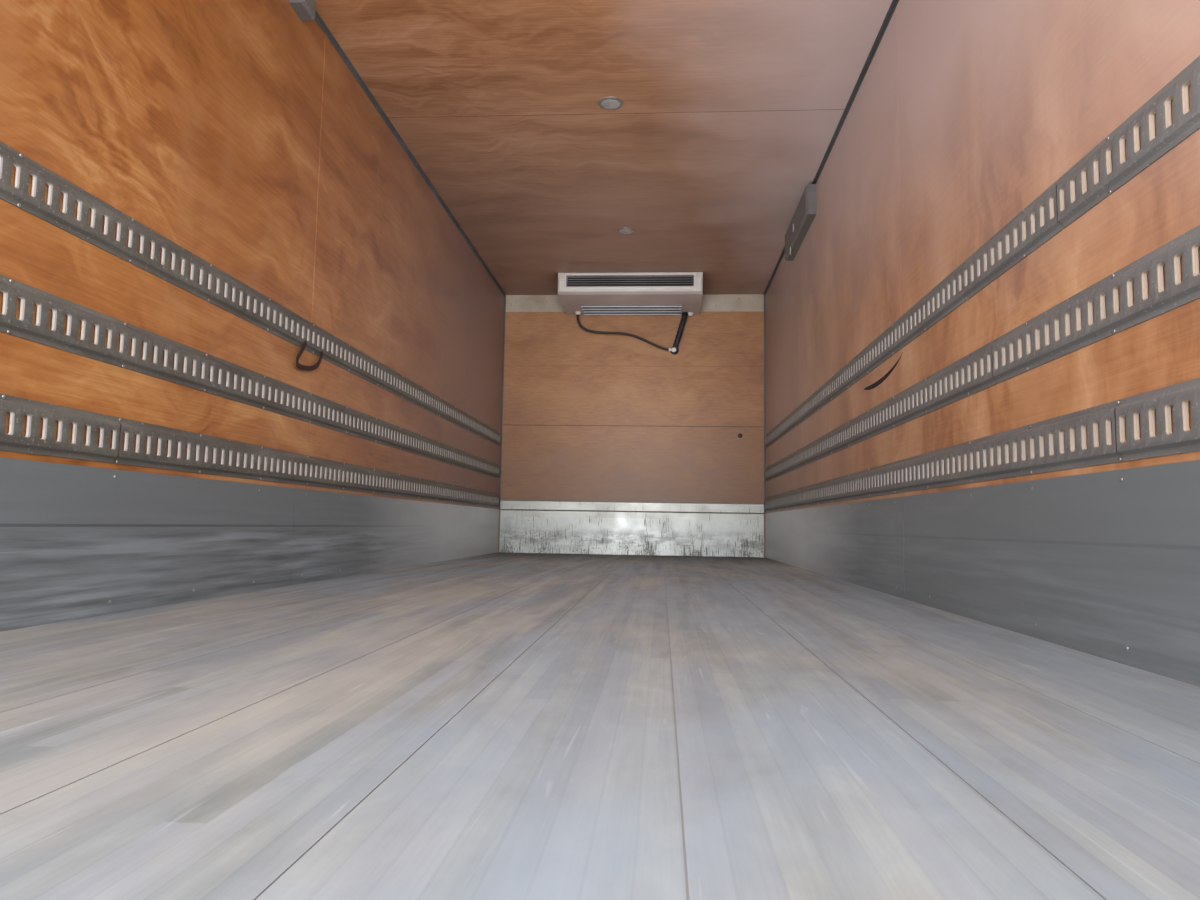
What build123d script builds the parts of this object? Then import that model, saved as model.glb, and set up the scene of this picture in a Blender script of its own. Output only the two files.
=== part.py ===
from build123d import *
import os
from math import cos, radians, sin, tan

# Insulated box body of a refrigerated truck, taken off its chassis, doors folded back against the sides.
# Millimetres. +Z up, +Y towards the cab, +X to the right, origin on the ground under the middle of its box.

# Load space, between the finished faces
inner_width = 2350.0
inner_height = 2330.0
inner_length = 7800.0

# Sandwich panels and what lines them
side_panel = 60.0
side_lining = 12.0
front_panel = 85.0
front_lining = 12.0
roof_panel = 80.0
roof_lining = 9.0
floor_panel = 100.0
deck_thickness = 25.0

# Plywood sheets and deck boards
sheet_pitch = 2780.0
first_joint = 1490.0
roof_sheet_pitch = 2440.0
first_roof_joint = 960.0
joint_width = 3.0
joint_depth = 2.0
cover_strip_width = 45.0
cover_strip_thickness = 2.0
left_joint_lead = 110.0
front_joint_heights = (1140.0, 1680.0)
board_width = 290.0
board_groove = 2.0
board_groove_depth = 1.2
top_strip_height = 155.0
top_strip_thickness = 4.0

# Subframe
sill_height = 140.0
sill_flange = 60.0
sill_wall = 8.0
sill_spread = 860.0
member_height = 60.0
member_flange = 40.0
member_wall = 4.0
member_pitch = 400.0
member_inset = 12.0

# Body mounting feet on the sills
foot_length = 120.0
foot_reach = 85.0
foot_thickness = 10.0
foot_height = 110.0
foot_hole_radius = 9.0
foot_hole_reach = 48.0
outer_foot_spacing = 6400.0
inner_foot_spacing = 2200.0

# Lashing rails: heights of their centres over the deck, and the pressed hat section
rail_heights = {"low": 457.0, "mid": 715.0, "top": 1003.0}
rail_width = 127.0
rail_depth = 12.7
rail_sheet = 2.5
rail_flange = 14.0
rail_slope = 6.0
rail_end_gap = 70.0

# Kick plates
kick_height = 380.0
kick_thickness = 3.0
kick_joint = 3.0
front_kick_height = 373.0
front_lip_top = 469.0
front_lip_depth = 10.0
front_lip_slope = 12.0

# Corner angles inside
ceiling_angle = 18.0
corner_angle = 12.0
angle_wall = 2.0

# Rear portal
portal_depth = 100.0
post_width = 82.0
header_drop = 20.0
stop_lip = 10.0
stop_depth = 10.0
portal_corner = 8.0

# Doors
leaf_thickness = 85.0
leaf_gap = 12.0
meeting_gap = 20.0
leaf_chamfer = 8.0
seal_thickness = 5.0
seal_depth = 25.0
seal_setback = 4.0

# Hinges
pin_out = 35.0
pin_back = 35.0
pin_radius = 8.0
pin_clearance = 0.05
barrel_radius = 16.0
blade_thickness = 8.0
blade_height = 60.0
blade_reach = 320.0
blade_crank_run = 35.0
ear_thickness = 12.0
ear_gap = 1.0
bracket_plate = 8.0
bracket_length = 80.0
hinge_count = 4
hinge_end = 190.0

# Lock rods, handles and keepers
rod_radius = 13.5
rod_standoff = 12.0
rod_overrun = 65.0
rod_shares = (0.22, 0.78)
guide_length = 60.0
guide_width = 62.0
guide_bevel = 7.0
guide_count = 3
guide_end = 260.0
handle_length = 380.0
handle_height = 34.0
handle_thickness = 8.0
handle_level = 900.0
cam_width = 30.0
cam_height = 36.0
cam_depth = 32.0
keeper_gap = 12.0
keeper_wall = 8.0
keeper_height = 44.0
keeper_reach = 46.0

# Outside trims
edge_sheet = 5.0
lower_rail_height = 110.0
roof_angle = 70.0
post_angle = 80.0
trim_gap = 2.0
lamp_size = (110.0, 44.0, 20.0)
side_lamp_count = 3
side_lamp_level = 255.0
end_lamp_inset = 150.0

# Buffers
dock_buffer = (100.0, 60.0, 110.0)
dock_buffer_inset = 27.0
holdback_radius = 26.0
holdback_clearance = 8.0
holdback_inset = 110.0
holdback_level = 1350.0

# Evaporator under the roof
evap_width = 1195.0
evap_depth = 700.0
evap_height = 182.0
evap_offset = -7.0
evap_edge = 24.0
evap_nose_slope = 16.0
outlet_width = 1050.0
outlet_height = 96.0
outlet_drop = 26.0
outlet_depth = 70.0
outlet_slats = 5
slat_thickness = 4.0
slat_chord = 24.0
slat_fit = 0.3
slat_tilt = 25.0
slat_post = 8.0
intake_width = 870.0
intake_length = 290.0
intake_wall_gap = 38.0
intake_depth = 60.0
intake_bars = 4
bar_thickness = 5.0
bar_height = 24.0
bar_drop = 12.0
bar_margin = 7.5

# Pipes from the evaporator, measured from the front lining and over the deck
bundle_radius = 27.0
bundle_top = (468.0, 70.0)
bundle_lead = 30.0
bundle_bend = 40.0
gland_place = (374.0, 1822.0)
gland_radius = 30.0
gland_depth = 76.0
gland_flange_radius = 38.0
gland_flange = 6.0
spigot_radius = 15.0
spigot_length = 22.0
spigot_root = 12.0
hose_radius = 11.0
hose_exit = (-484.0, 100.0)
hose_ferrule = 26.0
hose_ferrule_radius = 17.0
hose_lead = 40.0
bend_share = 0.45

# Ceiling lamps, cable box and bracket
lamp_radius = 62.0
lamp_height = 12.0
lamp_face_radius = 48.0
first_ceiling_lamp = 1680.0
ceiling_lamp_pitch = 1830.0
ceiling_lamp_count = 4
box_start = 1620.0
box_length = 900.0
box_depth = 60.0
box_height = 185.0
bracket_start = 4410.0
bracket_size = (60.0, 120.0, 80.0)

# Webbing strap left in the top rail
strap_width = 20.0
strap_thickness = 3.0
strap_seat = 0.3

# Condenser unit on the nose
unit_width = 1500.0
unit_height = 560.0
unit_depth = 400.0
unit_wall = 4.0
unit_drop = 70.0
unit_crown = 150.0
unit_chin = 60.0
window_width = 560.0
window_height = 340.0
window_spread = 660.0
window_level = 250.0
window_corner = 40.0
grille_frame = 16.0
grille_depth = 14.0
grille_slats = 13
grille_slat_height = 4.0
grille_slat_setback = 2.0
grille_fit = 0.3
coil_depth = 60.0
coil_margin = 40.0
motor_radius = 45.0
motor_length = 90.0
shaft_radius = 8.0
shaft_length = 42.0
hub_radius = 42.0
hub_length = 50.0
hub_gap = 3.0
fan_radius = 158.0
blade_count = 5
blade_chord = 70.0
blade_sheet = 3.0
blade_pitch = 30.0

# Planes that everything hangs on
half_inner = inner_width / 2
half_lined = half_inner + side_lining
half_outer = half_lined + side_panel
member_top = sill_height + member_height
panel_top = member_top + floor_panel
deck_top = panel_top + deck_thickness
ceiling = deck_top + inner_height
wall_top = ceiling + roof_lining
roof_top = wall_top + roof_panel
body_length = portal_depth + inner_length + front_lining + front_panel
overall_length = dock_buffer[1] + body_length + unit_depth
rear_face = dock_buffer[1] - overall_length / 2
lining_rear = rear_face + portal_depth
front_face = lining_rear + inner_length
nose_face = front_face + front_lining + front_panel
opening_half = half_outer - post_width
opening_top = ceiling - header_drop
pin_x = half_outer + pin_out
pin_y = rear_face - pin_back


# A box between three pairs of coordinates, in any order
def block(xs, ys, zs):
    pairs = (xs, ys, zs)
    size = [abs(b - a) for a, b in pairs]
    centre = [(a + b) / 2 for a, b in pairs]
    return Pos(*centre) * Box(*size)


# A section given by (x, z) points, run along the length
def along_length(points, start, end):
    face = Plane.XZ * Polygon(*points, align=None)
    return Pos(0, start, 0) * extrude(face, amount=end - start, dir=(0, 1, 0))


# A section given by (y, z) points, run across the width
def across_width(points, start, end):
    face = Plane.YZ * Polygon(*points, align=None)
    return Pos(start, 0, 0) * extrude(face, amount=end - start, dir=(1, 0, 0))


# A section given by (x, y) points, run upwards
def upwards(points, start, end):
    face = Polygon(*points, align=None)
    return Pos(0, 0, start) * extrude(face, amount=end - start, dir=(0, 0, 1))


def mirrored(shape, side):
    return shape if side > 0 else mirror(shape, about=Plane.YZ)


# Distances of the sheet joints behind the front lining
def sheet_joints(first, pitch):
    count = int((inner_length - first) / pitch) + 1
    return [first + i * pitch for i in range(count)]


# Subframe: two channel sills with their backs outwards, and channels laid across them
def sill(side):
    outer, inner = sill_spread / 2, sill_spread / 2 - sill_flange
    web = outer - sill_wall
    top = sill_height - sill_wall
    points = [(inner, 0), (outer, 0), (outer, sill_height), (inner, sill_height),
              (inner, top), (web, top), (web, sill_wall), (inner, sill_wall)]
    return mirrored(along_length(points, rear_face, nose_face), side)


def cross_members():
    half = half_outer - member_inset
    low, high = sill_height, member_top
    count = int((body_length - 2 * member_flange) / member_pitch) + 1
    first = rear_face + (body_length - (count - 1) * member_pitch - member_flange) / 2
    members = []
    for i in range(count):
        back = first + i * member_pitch
        web, tip = back + member_wall, back + member_flange
        points = [(back, low), (tip, low), (tip, low + member_wall), (web, low + member_wall),
                  (web, high - member_wall), (tip, high - member_wall), (tip, high), (back, high)]
        members.append(across_width(points, -half, half))
    return Compound(children=members)


def mounting_feet():
    feet = []
    outer = sill_spread / 2
    for spacing in (outer_foot_spacing, inner_foot_spacing):
        for y in (-spacing / 2, spacing / 2):
            points = [(outer, 0), (outer + foot_reach, 0), (outer + foot_reach, foot_thickness),
                      (outer + 2 * foot_thickness, foot_thickness),
                      (outer + foot_thickness, 2 * foot_thickness),
                      (outer + foot_thickness, foot_height), (outer, foot_height)]
            foot = along_length(points, y - foot_length / 2, y + foot_length / 2)
            foot -= Pos(outer + foot_hole_reach, y, foot_thickness / 2) * Cylinder(
                foot_hole_radius, 2 * foot_thickness)
            feet += [foot, mirrored(foot, -1)]
    return Compound(children=feet)


# Floor: insulated slab, and laminated boards laid lengthwise with open joints
def floor_slab():
    return block((-half_lined, half_lined), (lining_rear, front_face + front_lining),
                 (member_top, panel_top))


def floor_deck():
    deck = block((-half_lined, half_lined), (lining_rear, front_face + front_lining), (panel_top, deck_top))
    count = int(inner_width / board_width)
    for i in range(count + 1):
        x = (i - count / 2) * board_width
        deck -= block((x - board_groove / 2, x + board_groove / 2), (lining_rear, front_face + front_lining),
                      (deck_top - board_groove_depth, deck_top))
    return deck


# Sandwich panels
def side_wall(side):
    return block((side * half_lined, side * half_outer), (lining_rear, front_face + front_lining),
                 (member_top, wall_top))


def front_wall():
    return block((-half_outer, half_outer), (front_face + front_lining, nose_face), (member_top, wall_top))


def roof():
    return block((-half_outer, half_outer), (lining_rear, nose_face), (wall_top, roof_top))


# Plywood, scored where its sheets meet; on the left a strip covers the middle joint over the top rail
def side_plywood(side):
    sheet = block((side * half_inner, side * half_lined), (lining_rear, front_face + front_lining),
                  (deck_top, ceiling))
    joints = sheet_joints(first_joint - (left_joint_lead if side < 0 else 0), sheet_pitch)
    for distance in joints:
        y = front_face - distance
        sheet -= block((side * half_inner, side * (half_inner + joint_depth)),
                       (y - joint_width / 2, y + joint_width / 2), (deck_top, ceiling))
    if side < 0:
        y = front_face - joints[1]
        gap_low = deck_top + rail_heights["top"] + rail_width / 2
        sheet += block((side * half_inner, side * (half_inner - cover_strip_thickness)),
                       (y - cover_strip_width / 2, y + cover_strip_width / 2),
                       (gap_low, ceiling - ceiling_angle))
    return sheet


def front_plywood():
    sheet = block((-half_inner, half_inner), (front_face, front_face + front_lining), (deck_top, ceiling))
    for height in front_joint_heights:
        z = deck_top + height
        sheet -= block((-half_inner, half_inner), (front_face, front_face + joint_depth),
                       (z - joint_width / 2, z + joint_width / 2))
    return sheet


def roof_plywood():
    sheet = block((-half_lined, half_lined), (lining_rear, front_face + front_lining), (ceiling, wall_top))
    for distance in sheet_joints(first_roof_joint, roof_sheet_pitch):
        y = front_face - distance
        sheet -= block((-half_lined, half_lined), (y - joint_width / 2, y + joint_width / 2),
                       (ceiling, ceiling + joint_depth))
    return sheet


# Painted board along the top of the front wall, either side of the evaporator
def front_top_strip():
    low = ceiling - top_strip_height
    return block((-half_inner + corner_angle + trim_gap, half_inner - corner_angle - trim_gap),
                 (front_face - top_strip_thickness, front_face), (low, ceiling))


# Lashing rail: a pressed hat section fixed by its flanges
def lashing_rail(side, height):
    z = deck_top + height
    half = rail_width / 2
    foot = half - rail_flange
    crown = foot - rail_slope
    wall, face = half_inner, half_inner - rail_depth
    skin = rail_sheet
    points = [(wall, z - half), (wall - skin, z - half), (wall - skin, z - foot), (face, z - crown),
              (face, z + crown), (wall - skin, z + foot), (wall - skin, z + half), (wall, z + half),
              (wall, z + foot - skin), (face + skin, z + crown - skin),
              (face + skin, z - crown + skin), (wall, z - foot + skin)]
    rail = along_length(points, lining_rear + rail_end_gap, front_face - rail_end_gap)
    return mirrored(rail, side)


# Kick plates
def side_kick(side):
    edges = [0.0] + sheet_joints(first_joint, sheet_pitch) + [inner_length]
    front_stop = front_lip_depth + kick_thickness
    plates = []
    for near, far in zip(edges, edges[1:]):
        near += max(kick_joint / 2, front_stop if near == 0 else 0)
        far -= kick_joint / 2
        plates.append(block((side * half_inner, side * (half_inner - kick_thickness)),
                            (front_face - far, front_face - near), (deck_top, deck_top + kick_height)))
    return Compound(children=plates)


def front_kick():
    half = half_inner - corner_angle - trim_gap
    face = front_face
    skin = kick_thickness
    low, bend, top = deck_top, deck_top + front_kick_height, deck_top + front_lip_top
    lip = face - front_lip_depth
    points = [(face, low), (face, bend), (lip + skin, bend + front_lip_slope),
              (lip + skin, top - front_lip_slope), (face, top), (face - skin, top),
              (lip, top - front_lip_slope), (lip, bend + front_lip_slope), (face - skin, bend),
              (face - skin, low)]
    return across_width(points, -half, half)


# Inside angles
def ceiling_angles():
    reach, skin = ceiling_angle, angle_wall
    wall = half_inner
    points = [(wall, ceiling), (wall - reach, ceiling), (wall - reach, ceiling - skin),
              (wall - skin, ceiling - skin), (wall - skin, ceiling - reach), (wall, ceiling - reach)]
    angle = along_length(points, lining_rear, front_face - corner_angle - trim_gap)
    return Compound(children=[angle, mirrored(angle, -1)])


def corner_angles():
    reach, skin = corner_angle, angle_wall
    wall, face = half_inner, front_face
    points = [(wall, face), (wall - reach, face), (wall - reach, face - skin), (wall - skin, face - skin),
              (wall - skin, face - reach), (wall, face - reach)]
    angle = upwards(points, deck_top + kick_height + trim_gap, ceiling)
    return Compound(children=[angle, mirrored(angle, -1)])


# Height span of a door leaf, and the two rods' distances from the pin
def leaf_span():
    return deck_top + leaf_gap, opening_top - leaf_gap


def leaf_width():
    return opening_half - leaf_gap - meeting_gap / 2


def leaf_start():
    return pin_out + post_width + leaf_gap


def rod_distances():
    return [leaf_start() + share * leaf_width() for share in rod_shares]


# Rear portal: posts, header and threshold in one welded frame, with a stop lip and the rods' keepers
def rear_portal():
    frame = block((-half_outer, half_outer), (rear_face, lining_rear), (member_top, roof_top))
    clear = block((-opening_half, opening_half), (rear_face, lining_rear), (deck_top, opening_top))
    frame -= fillet(clear.edges().filter_by(Axis.Y), portal_corner)
    lip_front, lip_back = lining_rear, lining_rear - stop_depth
    lip = block((-opening_half, opening_half), (lip_back, lip_front), (deck_top, opening_top))
    lip -= block((-opening_half + stop_lip, opening_half - stop_lip), (lip_back, lip_front),
                 (deck_top, opening_top - stop_lip))
    frame += lip
    low, high = leaf_span()
    levels = (low - rod_overrun + cam_height / 2, high + rod_overrun - cam_height / 2)
    ear_in = cam_width / 2 + keeper_gap
    for distance in rod_distances():
        for level in levels:
            for ear in (-1, 1):
                x = pin_x - distance
                keeper = block((x + ear * ear_in, x + ear * (ear_in + keeper_wall)),
                               (rear_face, rear_face - keeper_reach),
                               (level - keeper_height / 2, level + keeper_height / 2))
                frame += keeper
                frame += mirrored(keeper, -1)
    return frame


# Outside corner angles in aluminium
def edge_profiles():
    skin = edge_sheet
    side, top = half_outer, roof_top
    front = nose_face
    lower = [(side, member_top), (side + skin, member_top), (side + skin, member_top + lower_rail_height),
             (side, member_top + lower_rail_height)]
    upper = [(side, top), (side - roof_angle, top), (side - roof_angle, top + skin),
             (side + skin, top + skin), (side + skin, top - roof_angle), (side, top - roof_angle)]
    post = [(side, front), (side - post_angle, front), (side - post_angle, front + skin),
            (side + skin, front + skin), (side + skin, front - post_angle), (side, front - post_angle)]
    lower_side = along_length(lower, lining_rear, front - post_angle - trim_gap)
    upper_side = along_length(upper, rear_face, front)
    post_side = upwards(post, member_top, top - roof_angle - trim_gap)
    nose_half = side - post_angle - trim_gap
    nose = [(front, top), (front - roof_angle, top), (front - roof_angle, top + skin),
            (front + skin, top + skin), (front + skin, top - roof_angle), (front, top - roof_angle)]
    brow = across_width(nose, roof_angle + trim_gap - side, side - roof_angle - trim_gap)
    foot = block((-nose_half, nose_half), (front, front + skin),
                 (member_top, member_top + lower_rail_height))
    pieces = [lower_side, upper_side, post_side]
    return Compound(children=pieces + [mirrored(piece, -1) for piece in pieces] + [brow, foot])


# Clearance lamps: side, front and rear
def marker_lamps():
    length, height, depth = lamp_size
    lamps = []
    face = half_outer + edge_sheet
    run = nose_face - post_angle - rear_face
    for i in range(side_lamp_count):
        y = rear_face + run * (i + 1) / (side_lamp_count + 1) + length
        lamp = block((face, face + depth), (y - length / 2, y + length / 2),
                     (side_lamp_level - height / 2, side_lamp_level + height / 2))
        lamps.append(chamfer(lamp.faces().sort_by(Axis.X)[-1].edges(), depth / 3))
    x = half_outer - end_lamp_inset
    header_mid = (opening_top + roof_top) / 2
    brow_level = roof_top - roof_angle - height
    for base, tip, level in ((rear_face, rear_face - depth, header_mid),
                             (nose_face, nose_face + depth, brow_level)):
        lamp = block((x - length / 2, x + length / 2), (base, tip), (level - height / 2, level + height / 2))
        outer_face = lamp.faces().sort_by(Axis.Y)[0 if tip < base else -1]
        lamps.append(chamfer(outer_face.edges(), depth / 3))
    return Compound(children=lamps + [mirrored(lamp, -1) for lamp in lamps])


def buffers():
    width, depth, height = dock_buffer
    outer = half_outer - dock_buffer_inset
    middle = (member_top + deck_top) / 2
    dock = block((outer - width, outer), (rear_face - depth, rear_face),
                 (middle - height / 2, middle + height / 2))
    dock = chamfer(dock.faces().sort_by(Axis.Y)[0].edges(), depth / 6)
    reach = pin_out + pin_back - holdback_clearance
    y = pin_y + leaf_start() + leaf_width() - holdback_inset
    stop = Pos(half_outer + reach / 2, y, holdback_level) * Rot(0, 90, 0) * Cylinder(holdback_radius, reach)
    pieces = [dock, stop]
    return Compound(children=pieces + [mirrored(piece, -1) for piece in pieces])


# A piece drawn on the closed right-hand door round the pin, as (distance inwards, distance forwards), is
# turned about the pin to where the open door lies along the side wall
def folded(shape, side):
    opened = Pos(pin_x, pin_y, 0) * Rot(0, 0, -90) * shape
    return mirrored(opened, side)


def door_leaf(side):
    low, high = leaf_span()
    start = leaf_start()
    leaf = block((-start, -start - leaf_width()), (pin_back, pin_back + leaf_thickness), (low, high))
    leaf = chamfer(leaf.faces().sort_by(Axis.Y)[-1].edges(), leaf_chamfer)
    return folded(leaf, side)


def door_seal(side):
    low, high = leaf_span()
    start = leaf_start()
    end = start + leaf_width()
    depth = (pin_back + seal_setback, pin_back + seal_setback + seal_depth)
    lip = seal_thickness
    ring = block((-start + lip, -end - lip), depth, (low - lip, high + lip))
    ring -= block((-start, -end), depth, (low, high))
    return folded(ring, side)


def hinge_levels():
    low, high = leaf_span()
    step = (high - low - 2 * hinge_end) / (hinge_count - 1)
    return [low + hinge_end + i * step for i in range(hinge_count)]


# Cranked hinge blades with their barrels
def hinge_blade(level):
    near = barrel_radius - blade_thickness
    seat = pin_back - blade_thickness
    start = leaf_start()
    crank = start - blade_crank_run / 2
    points = [(0, near), (-crank, near), (-crank - blade_crank_run, seat), (-start - blade_reach, seat),
              (-start - blade_reach, pin_back), (-crank - blade_crank_run + blade_thickness / 2, pin_back),
              (-crank + blade_thickness / 2, barrel_radius), (0, barrel_radius)]
    low, high = level - blade_height / 2, level + blade_height / 2
    blade = upwards(points, low, high)
    blade += Pos(0, 0, level) * Cylinder(barrel_radius, blade_height)
    return blade - Pos(0, 0, level) * Cylinder(pin_radius + pin_clearance, blade_height)


# Rods with their guides, cams and handles, one solid to a rod
def lock_rod(distance, handle_way):
    low, high = leaf_span()
    y = pin_back - rod_standoff - rod_radius
    bottom, top = low - rod_overrun, high + rod_overrun
    middle = (bottom + top) / 2
    rod = Pos(-distance, y, middle) * Cylinder(rod_radius, top - bottom)
    step = (high - low - 2 * guide_end) / (guide_count - 1)
    for i in range(guide_count):
        level = low + guide_end + i * step
        guide = block((-distance - guide_width / 2, -distance + guide_width / 2), (y, pin_back),
                      (level - guide_length / 2, level + guide_length / 2))
        rod += chamfer(guide.edges().filter_by(Axis.Z).group_by(Axis.Y)[0], guide_bevel)
    for level in (bottom + cam_height / 2, top - cam_height / 2):
        rod += block((-distance - cam_width / 2, -distance + cam_width / 2),
                     (y + rod_radius - cam_depth, y + rod_radius),
                     (level - cam_height / 2, level + cam_height / 2))
    grip = (-distance, -distance + handle_way * handle_length)
    level = deck_top + handle_level
    return rod + block(grip, (y - rod_radius - handle_thickness, y - rod_radius + handle_thickness / 2),
                       (level - handle_height / 2, level + handle_height / 2))


def door_hardware(side):
    near, far = rod_distances()
    pieces = [hinge_blade(level) for level in hinge_levels()]
    pieces += [lock_rod(near, -1), lock_rod(far, 1)]
    return Compound(children=[folded(piece, side) for piece in pieces])


# Fixed halves of the hinges: plates with a pair of eight-sided ears, and the pins between them
def hinge_brackets():
    brackets = []
    plate_out = half_outer + bracket_plate
    ear_low = blade_height / 2 + ear_gap
    tip = barrel_radius / cos(radians(22.5))
    nose = [(pin_x + tip * cos(radians(turn)), pin_y + tip * sin(radians(turn)))
            for turn in (22.5, -22.5, -67.5, -112.5)]
    for level in hinge_levels():
        tall = ear_low + ear_thickness
        bracket = block((half_outer, plate_out), (rear_face, rear_face + bracket_length),
                        (level - tall, level + tall))
        for way in (-1, 1):
            span = (level + way * ear_low, level + way * tall)
            bracket += upwards([(half_outer, rear_face), (plate_out, rear_face + bracket_length / 2)] + nose
                               + [(half_outer, rear_face - blade_thickness)], min(span), max(span))
        bracket += Pos(pin_x, pin_y, level) * Cylinder(pin_radius, 2 * tall)
        brackets += [bracket, mirrored(bracket, -1)]
    return Compound(children=brackets)


# Evaporator: a shallow housing hung from the roof against the front wall
def evap_sides():
    middle = evap_offset
    return middle - evap_width / 2, middle + evap_width / 2


def evaporator_housing():
    left, right = evap_sides()
    back, nose = front_face - top_strip_thickness, front_face - evap_depth
    low = ceiling - evap_height
    points = [(back, ceiling), (nose + evap_nose_slope, ceiling), (nose, ceiling - evap_height / 3),
              (nose, low + evap_edge), (nose + evap_edge, low), (back, low)]
    case = across_width(points, left, right)
    case = fillet(case.edges().filter_by(Axis.Z), evap_edge)
    top = ceiling - outlet_drop
    middle = evap_offset
    case -= block((middle - outlet_width / 2, middle + outlet_width / 2),
                  (nose - evap_edge, nose + outlet_depth), (top - outlet_height, top))
    intake_front = front_face - intake_wall_gap
    case -= block((middle - intake_width / 2, middle + intake_width / 2),
                  (intake_front - intake_length, intake_front), (low, low + intake_depth))
    return case


# Outlet louvres: tilted slats between two end posts
def evaporator_outlet():
    middle = evap_offset
    fit = slat_fit
    top = ceiling - outlet_drop
    nose = front_face - evap_depth
    half = outlet_width / 2 - fit
    outlet = block((middle - half, middle - half + slat_post),
                   (nose + slat_post, nose + slat_post + slat_chord), (top - outlet_height + fit, top - fit))
    outlet += Pos(2 * half - slat_post, 0, 0) * outlet
    pitch = outlet_height / outlet_slats
    for i in range(outlet_slats):
        z = top - (i + 0.5) * pitch
        slat = Rot(slat_tilt, 0, 0) * Box(2 * half, slat_chord, slat_thickness)
        outlet += Pos(middle, nose + slat_post + slat_chord / 2, z) * slat
    return outlet


# Intake grille: upright bars that stand a little below the housing, between two end posts
def evaporator_intake():
    low = ceiling - evap_height
    front = front_face - intake_wall_gap
    back = front - intake_length
    half = intake_width / 2 - slat_fit
    left = evap_offset - half
    post = block((left, left + slat_post), (back + slat_fit, front - slat_fit),
                 (low, low + bar_height - bar_drop))
    grille = post + Pos(2 * half - slat_post, 0, 0) * post
    pitch = (intake_length - 2 * bar_margin) / (intake_bars - 1)
    for i in range(intake_bars):
        y = front - bar_margin - i * pitch
        grille += block((left, left + 2 * half), (y - bar_thickness / 2, y + bar_thickness / 2),
                        (low - bar_drop, low - bar_drop + bar_height))
    return grille


# Lagged pipes dropping to a gland in the front wall
def pipe_bundle():
    x, z = gland_place[0], deck_top + gland_place[1]
    low = ceiling - evap_height
    drum = Pos(x, front_face - gland_depth / 2, z) * Rot(90, 0, 0) * Cylinder(gland_radius, gland_depth)
    flange = Pos(x, front_face - gland_flange / 2, z) * Rot(90, 0, 0) * Cylinder(
        gland_flange_radius, gland_flange)
    y = front_face - gland_depth + bundle_radius
    start = Vector(evap_offset + bundle_top[0], front_face - bundle_top[1], low)
    end = Vector(x, y, z)
    path = FilletPolyline(start, start - Vector(0, 0, bundle_lead), end, radius=bundle_bend)
    lagging = sweep(Plane(origin=start, z_dir=(0, 0, -1)) * Circle(bundle_radius), path=path)
    spigot_mid = x - gland_radius + (spigot_root - spigot_length) / 2
    spigot = Pos(spigot_mid, front_face - gland_depth / 2, z) * Rot(0, 90, 0) * Cylinder(
        spigot_radius, spigot_length + spigot_root)
    return drum + flange + lagging + spigot


# Drain hose: its route as (across, from the front lining, over the deck), from the evaporator to the spigot
def hose_route():
    spigot_x = gland_place[0] - gland_radius - spigot_length
    exit_x, exit_y = evap_offset + hose_exit[0], hose_exit[1]
    level = gland_place[1]
    return [
        (exit_x, exit_y, inner_height - evap_height - hose_ferrule), (exit_x, exit_y, 2056),
        (-432, 88, 1990), (-300, 76, 1965), (-75, 62, 1966), (50, 52, 1932),
        (spigot_x - hose_lead, gland_depth / 2, level), (spigot_x, gland_depth / 2, level),
    ]


# A path through points, each of its corners rounded as widely as the shorter run beside it allows
def rounded_route(points):
    runs = [(b - a).length for a, b in zip(points, points[1:])]
    turns = [(b - a).get_angle(c - b) for a, b, c in zip(points, points[1:], points[2:])]
    radii = [bend_share * min(first, second) / tan(radians(turn / 2))
             for first, second, turn in zip(runs, runs[1:], turns)]
    return FilletPolyline(*points, radius=radii)


def drain_hose():
    points = [Vector(x, front_face - y, deck_top + z) for x, y, z in hose_route()]
    path = rounded_route(points)
    print("hose length", round(path.length))
    return sweep(Plane(origin=points[0], z_dir=points[1] - points[0]) * Circle(hose_radius), path=path)


def hose_ferrule_boss():
    x, y, z = hose_route()[0]
    return Pos(x, front_face - y, deck_top + z + hose_ferrule / 2) * Cylinder(
        hose_ferrule_radius, hose_ferrule)


# Round flush lamps down the middle of the roof
def ceiling_lamps():
    lamps = []
    for i in range(ceiling_lamp_count):
        y = front_face - first_ceiling_lamp - i * ceiling_lamp_pitch
        lamps.append(Pos(0, y, ceiling - lamp_height / 2) * Cone(lamp_face_radius, lamp_radius, lamp_height))
    return Compound(children=lamps)


# Cable box high on the right wall, and a small bracket high on the left
def wall_boxes():
    top = ceiling - ceiling_angle - trim_gap
    far = front_face - box_start
    cable_box = block((half_inner, half_inner - box_depth), (far - box_length, far), (top - box_height, top))
    cable_box = chamfer(cable_box.faces().sort_by(Axis.X)[0].edges(), box_depth / 5)
    depth, length, height = bracket_size
    near = front_face - bracket_start
    bracket = block((-half_inner, -half_inner + depth), (near - length, near), (top - height, top))
    return Compound(children=[cable_box, chamfer(bracket.faces().sort_by(Axis.X)[-1].edges(), depth / 5)])


# Webbing strap: its route as (behind the front lining, over the deck), hanging out of the top rail
def strap_route():
    out = half_inner - rail_depth - strap_seat - strap_thickness / 2
    flat = [(4262, 966), (4300, 920), (4334, 888), (4336, 864), (4308, 858), (4240, 864), (4170, 878),
            (4118, 908), (4092, 962)]
    return [(-out, -distance, height) for distance, height in flat]


def wall_strap():
    points = [Vector(x, front_face + y, deck_top + z) for x, y, z in strap_route()]
    path = rounded_route(points)
    print("strap length", round(path.length))
    section = Plane(origin=points[0], x_dir=(1, 0, 0), z_dir=points[1] - points[0]) * Rectangle(
        strap_thickness, strap_width)
    return sweep(section, path=path)


# Condenser unit on the nose: open-backed housing with two grilled windows, a coil, and two fans
def unit_levels():
    top = roof_top - unit_drop
    return top - unit_height, top


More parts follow.
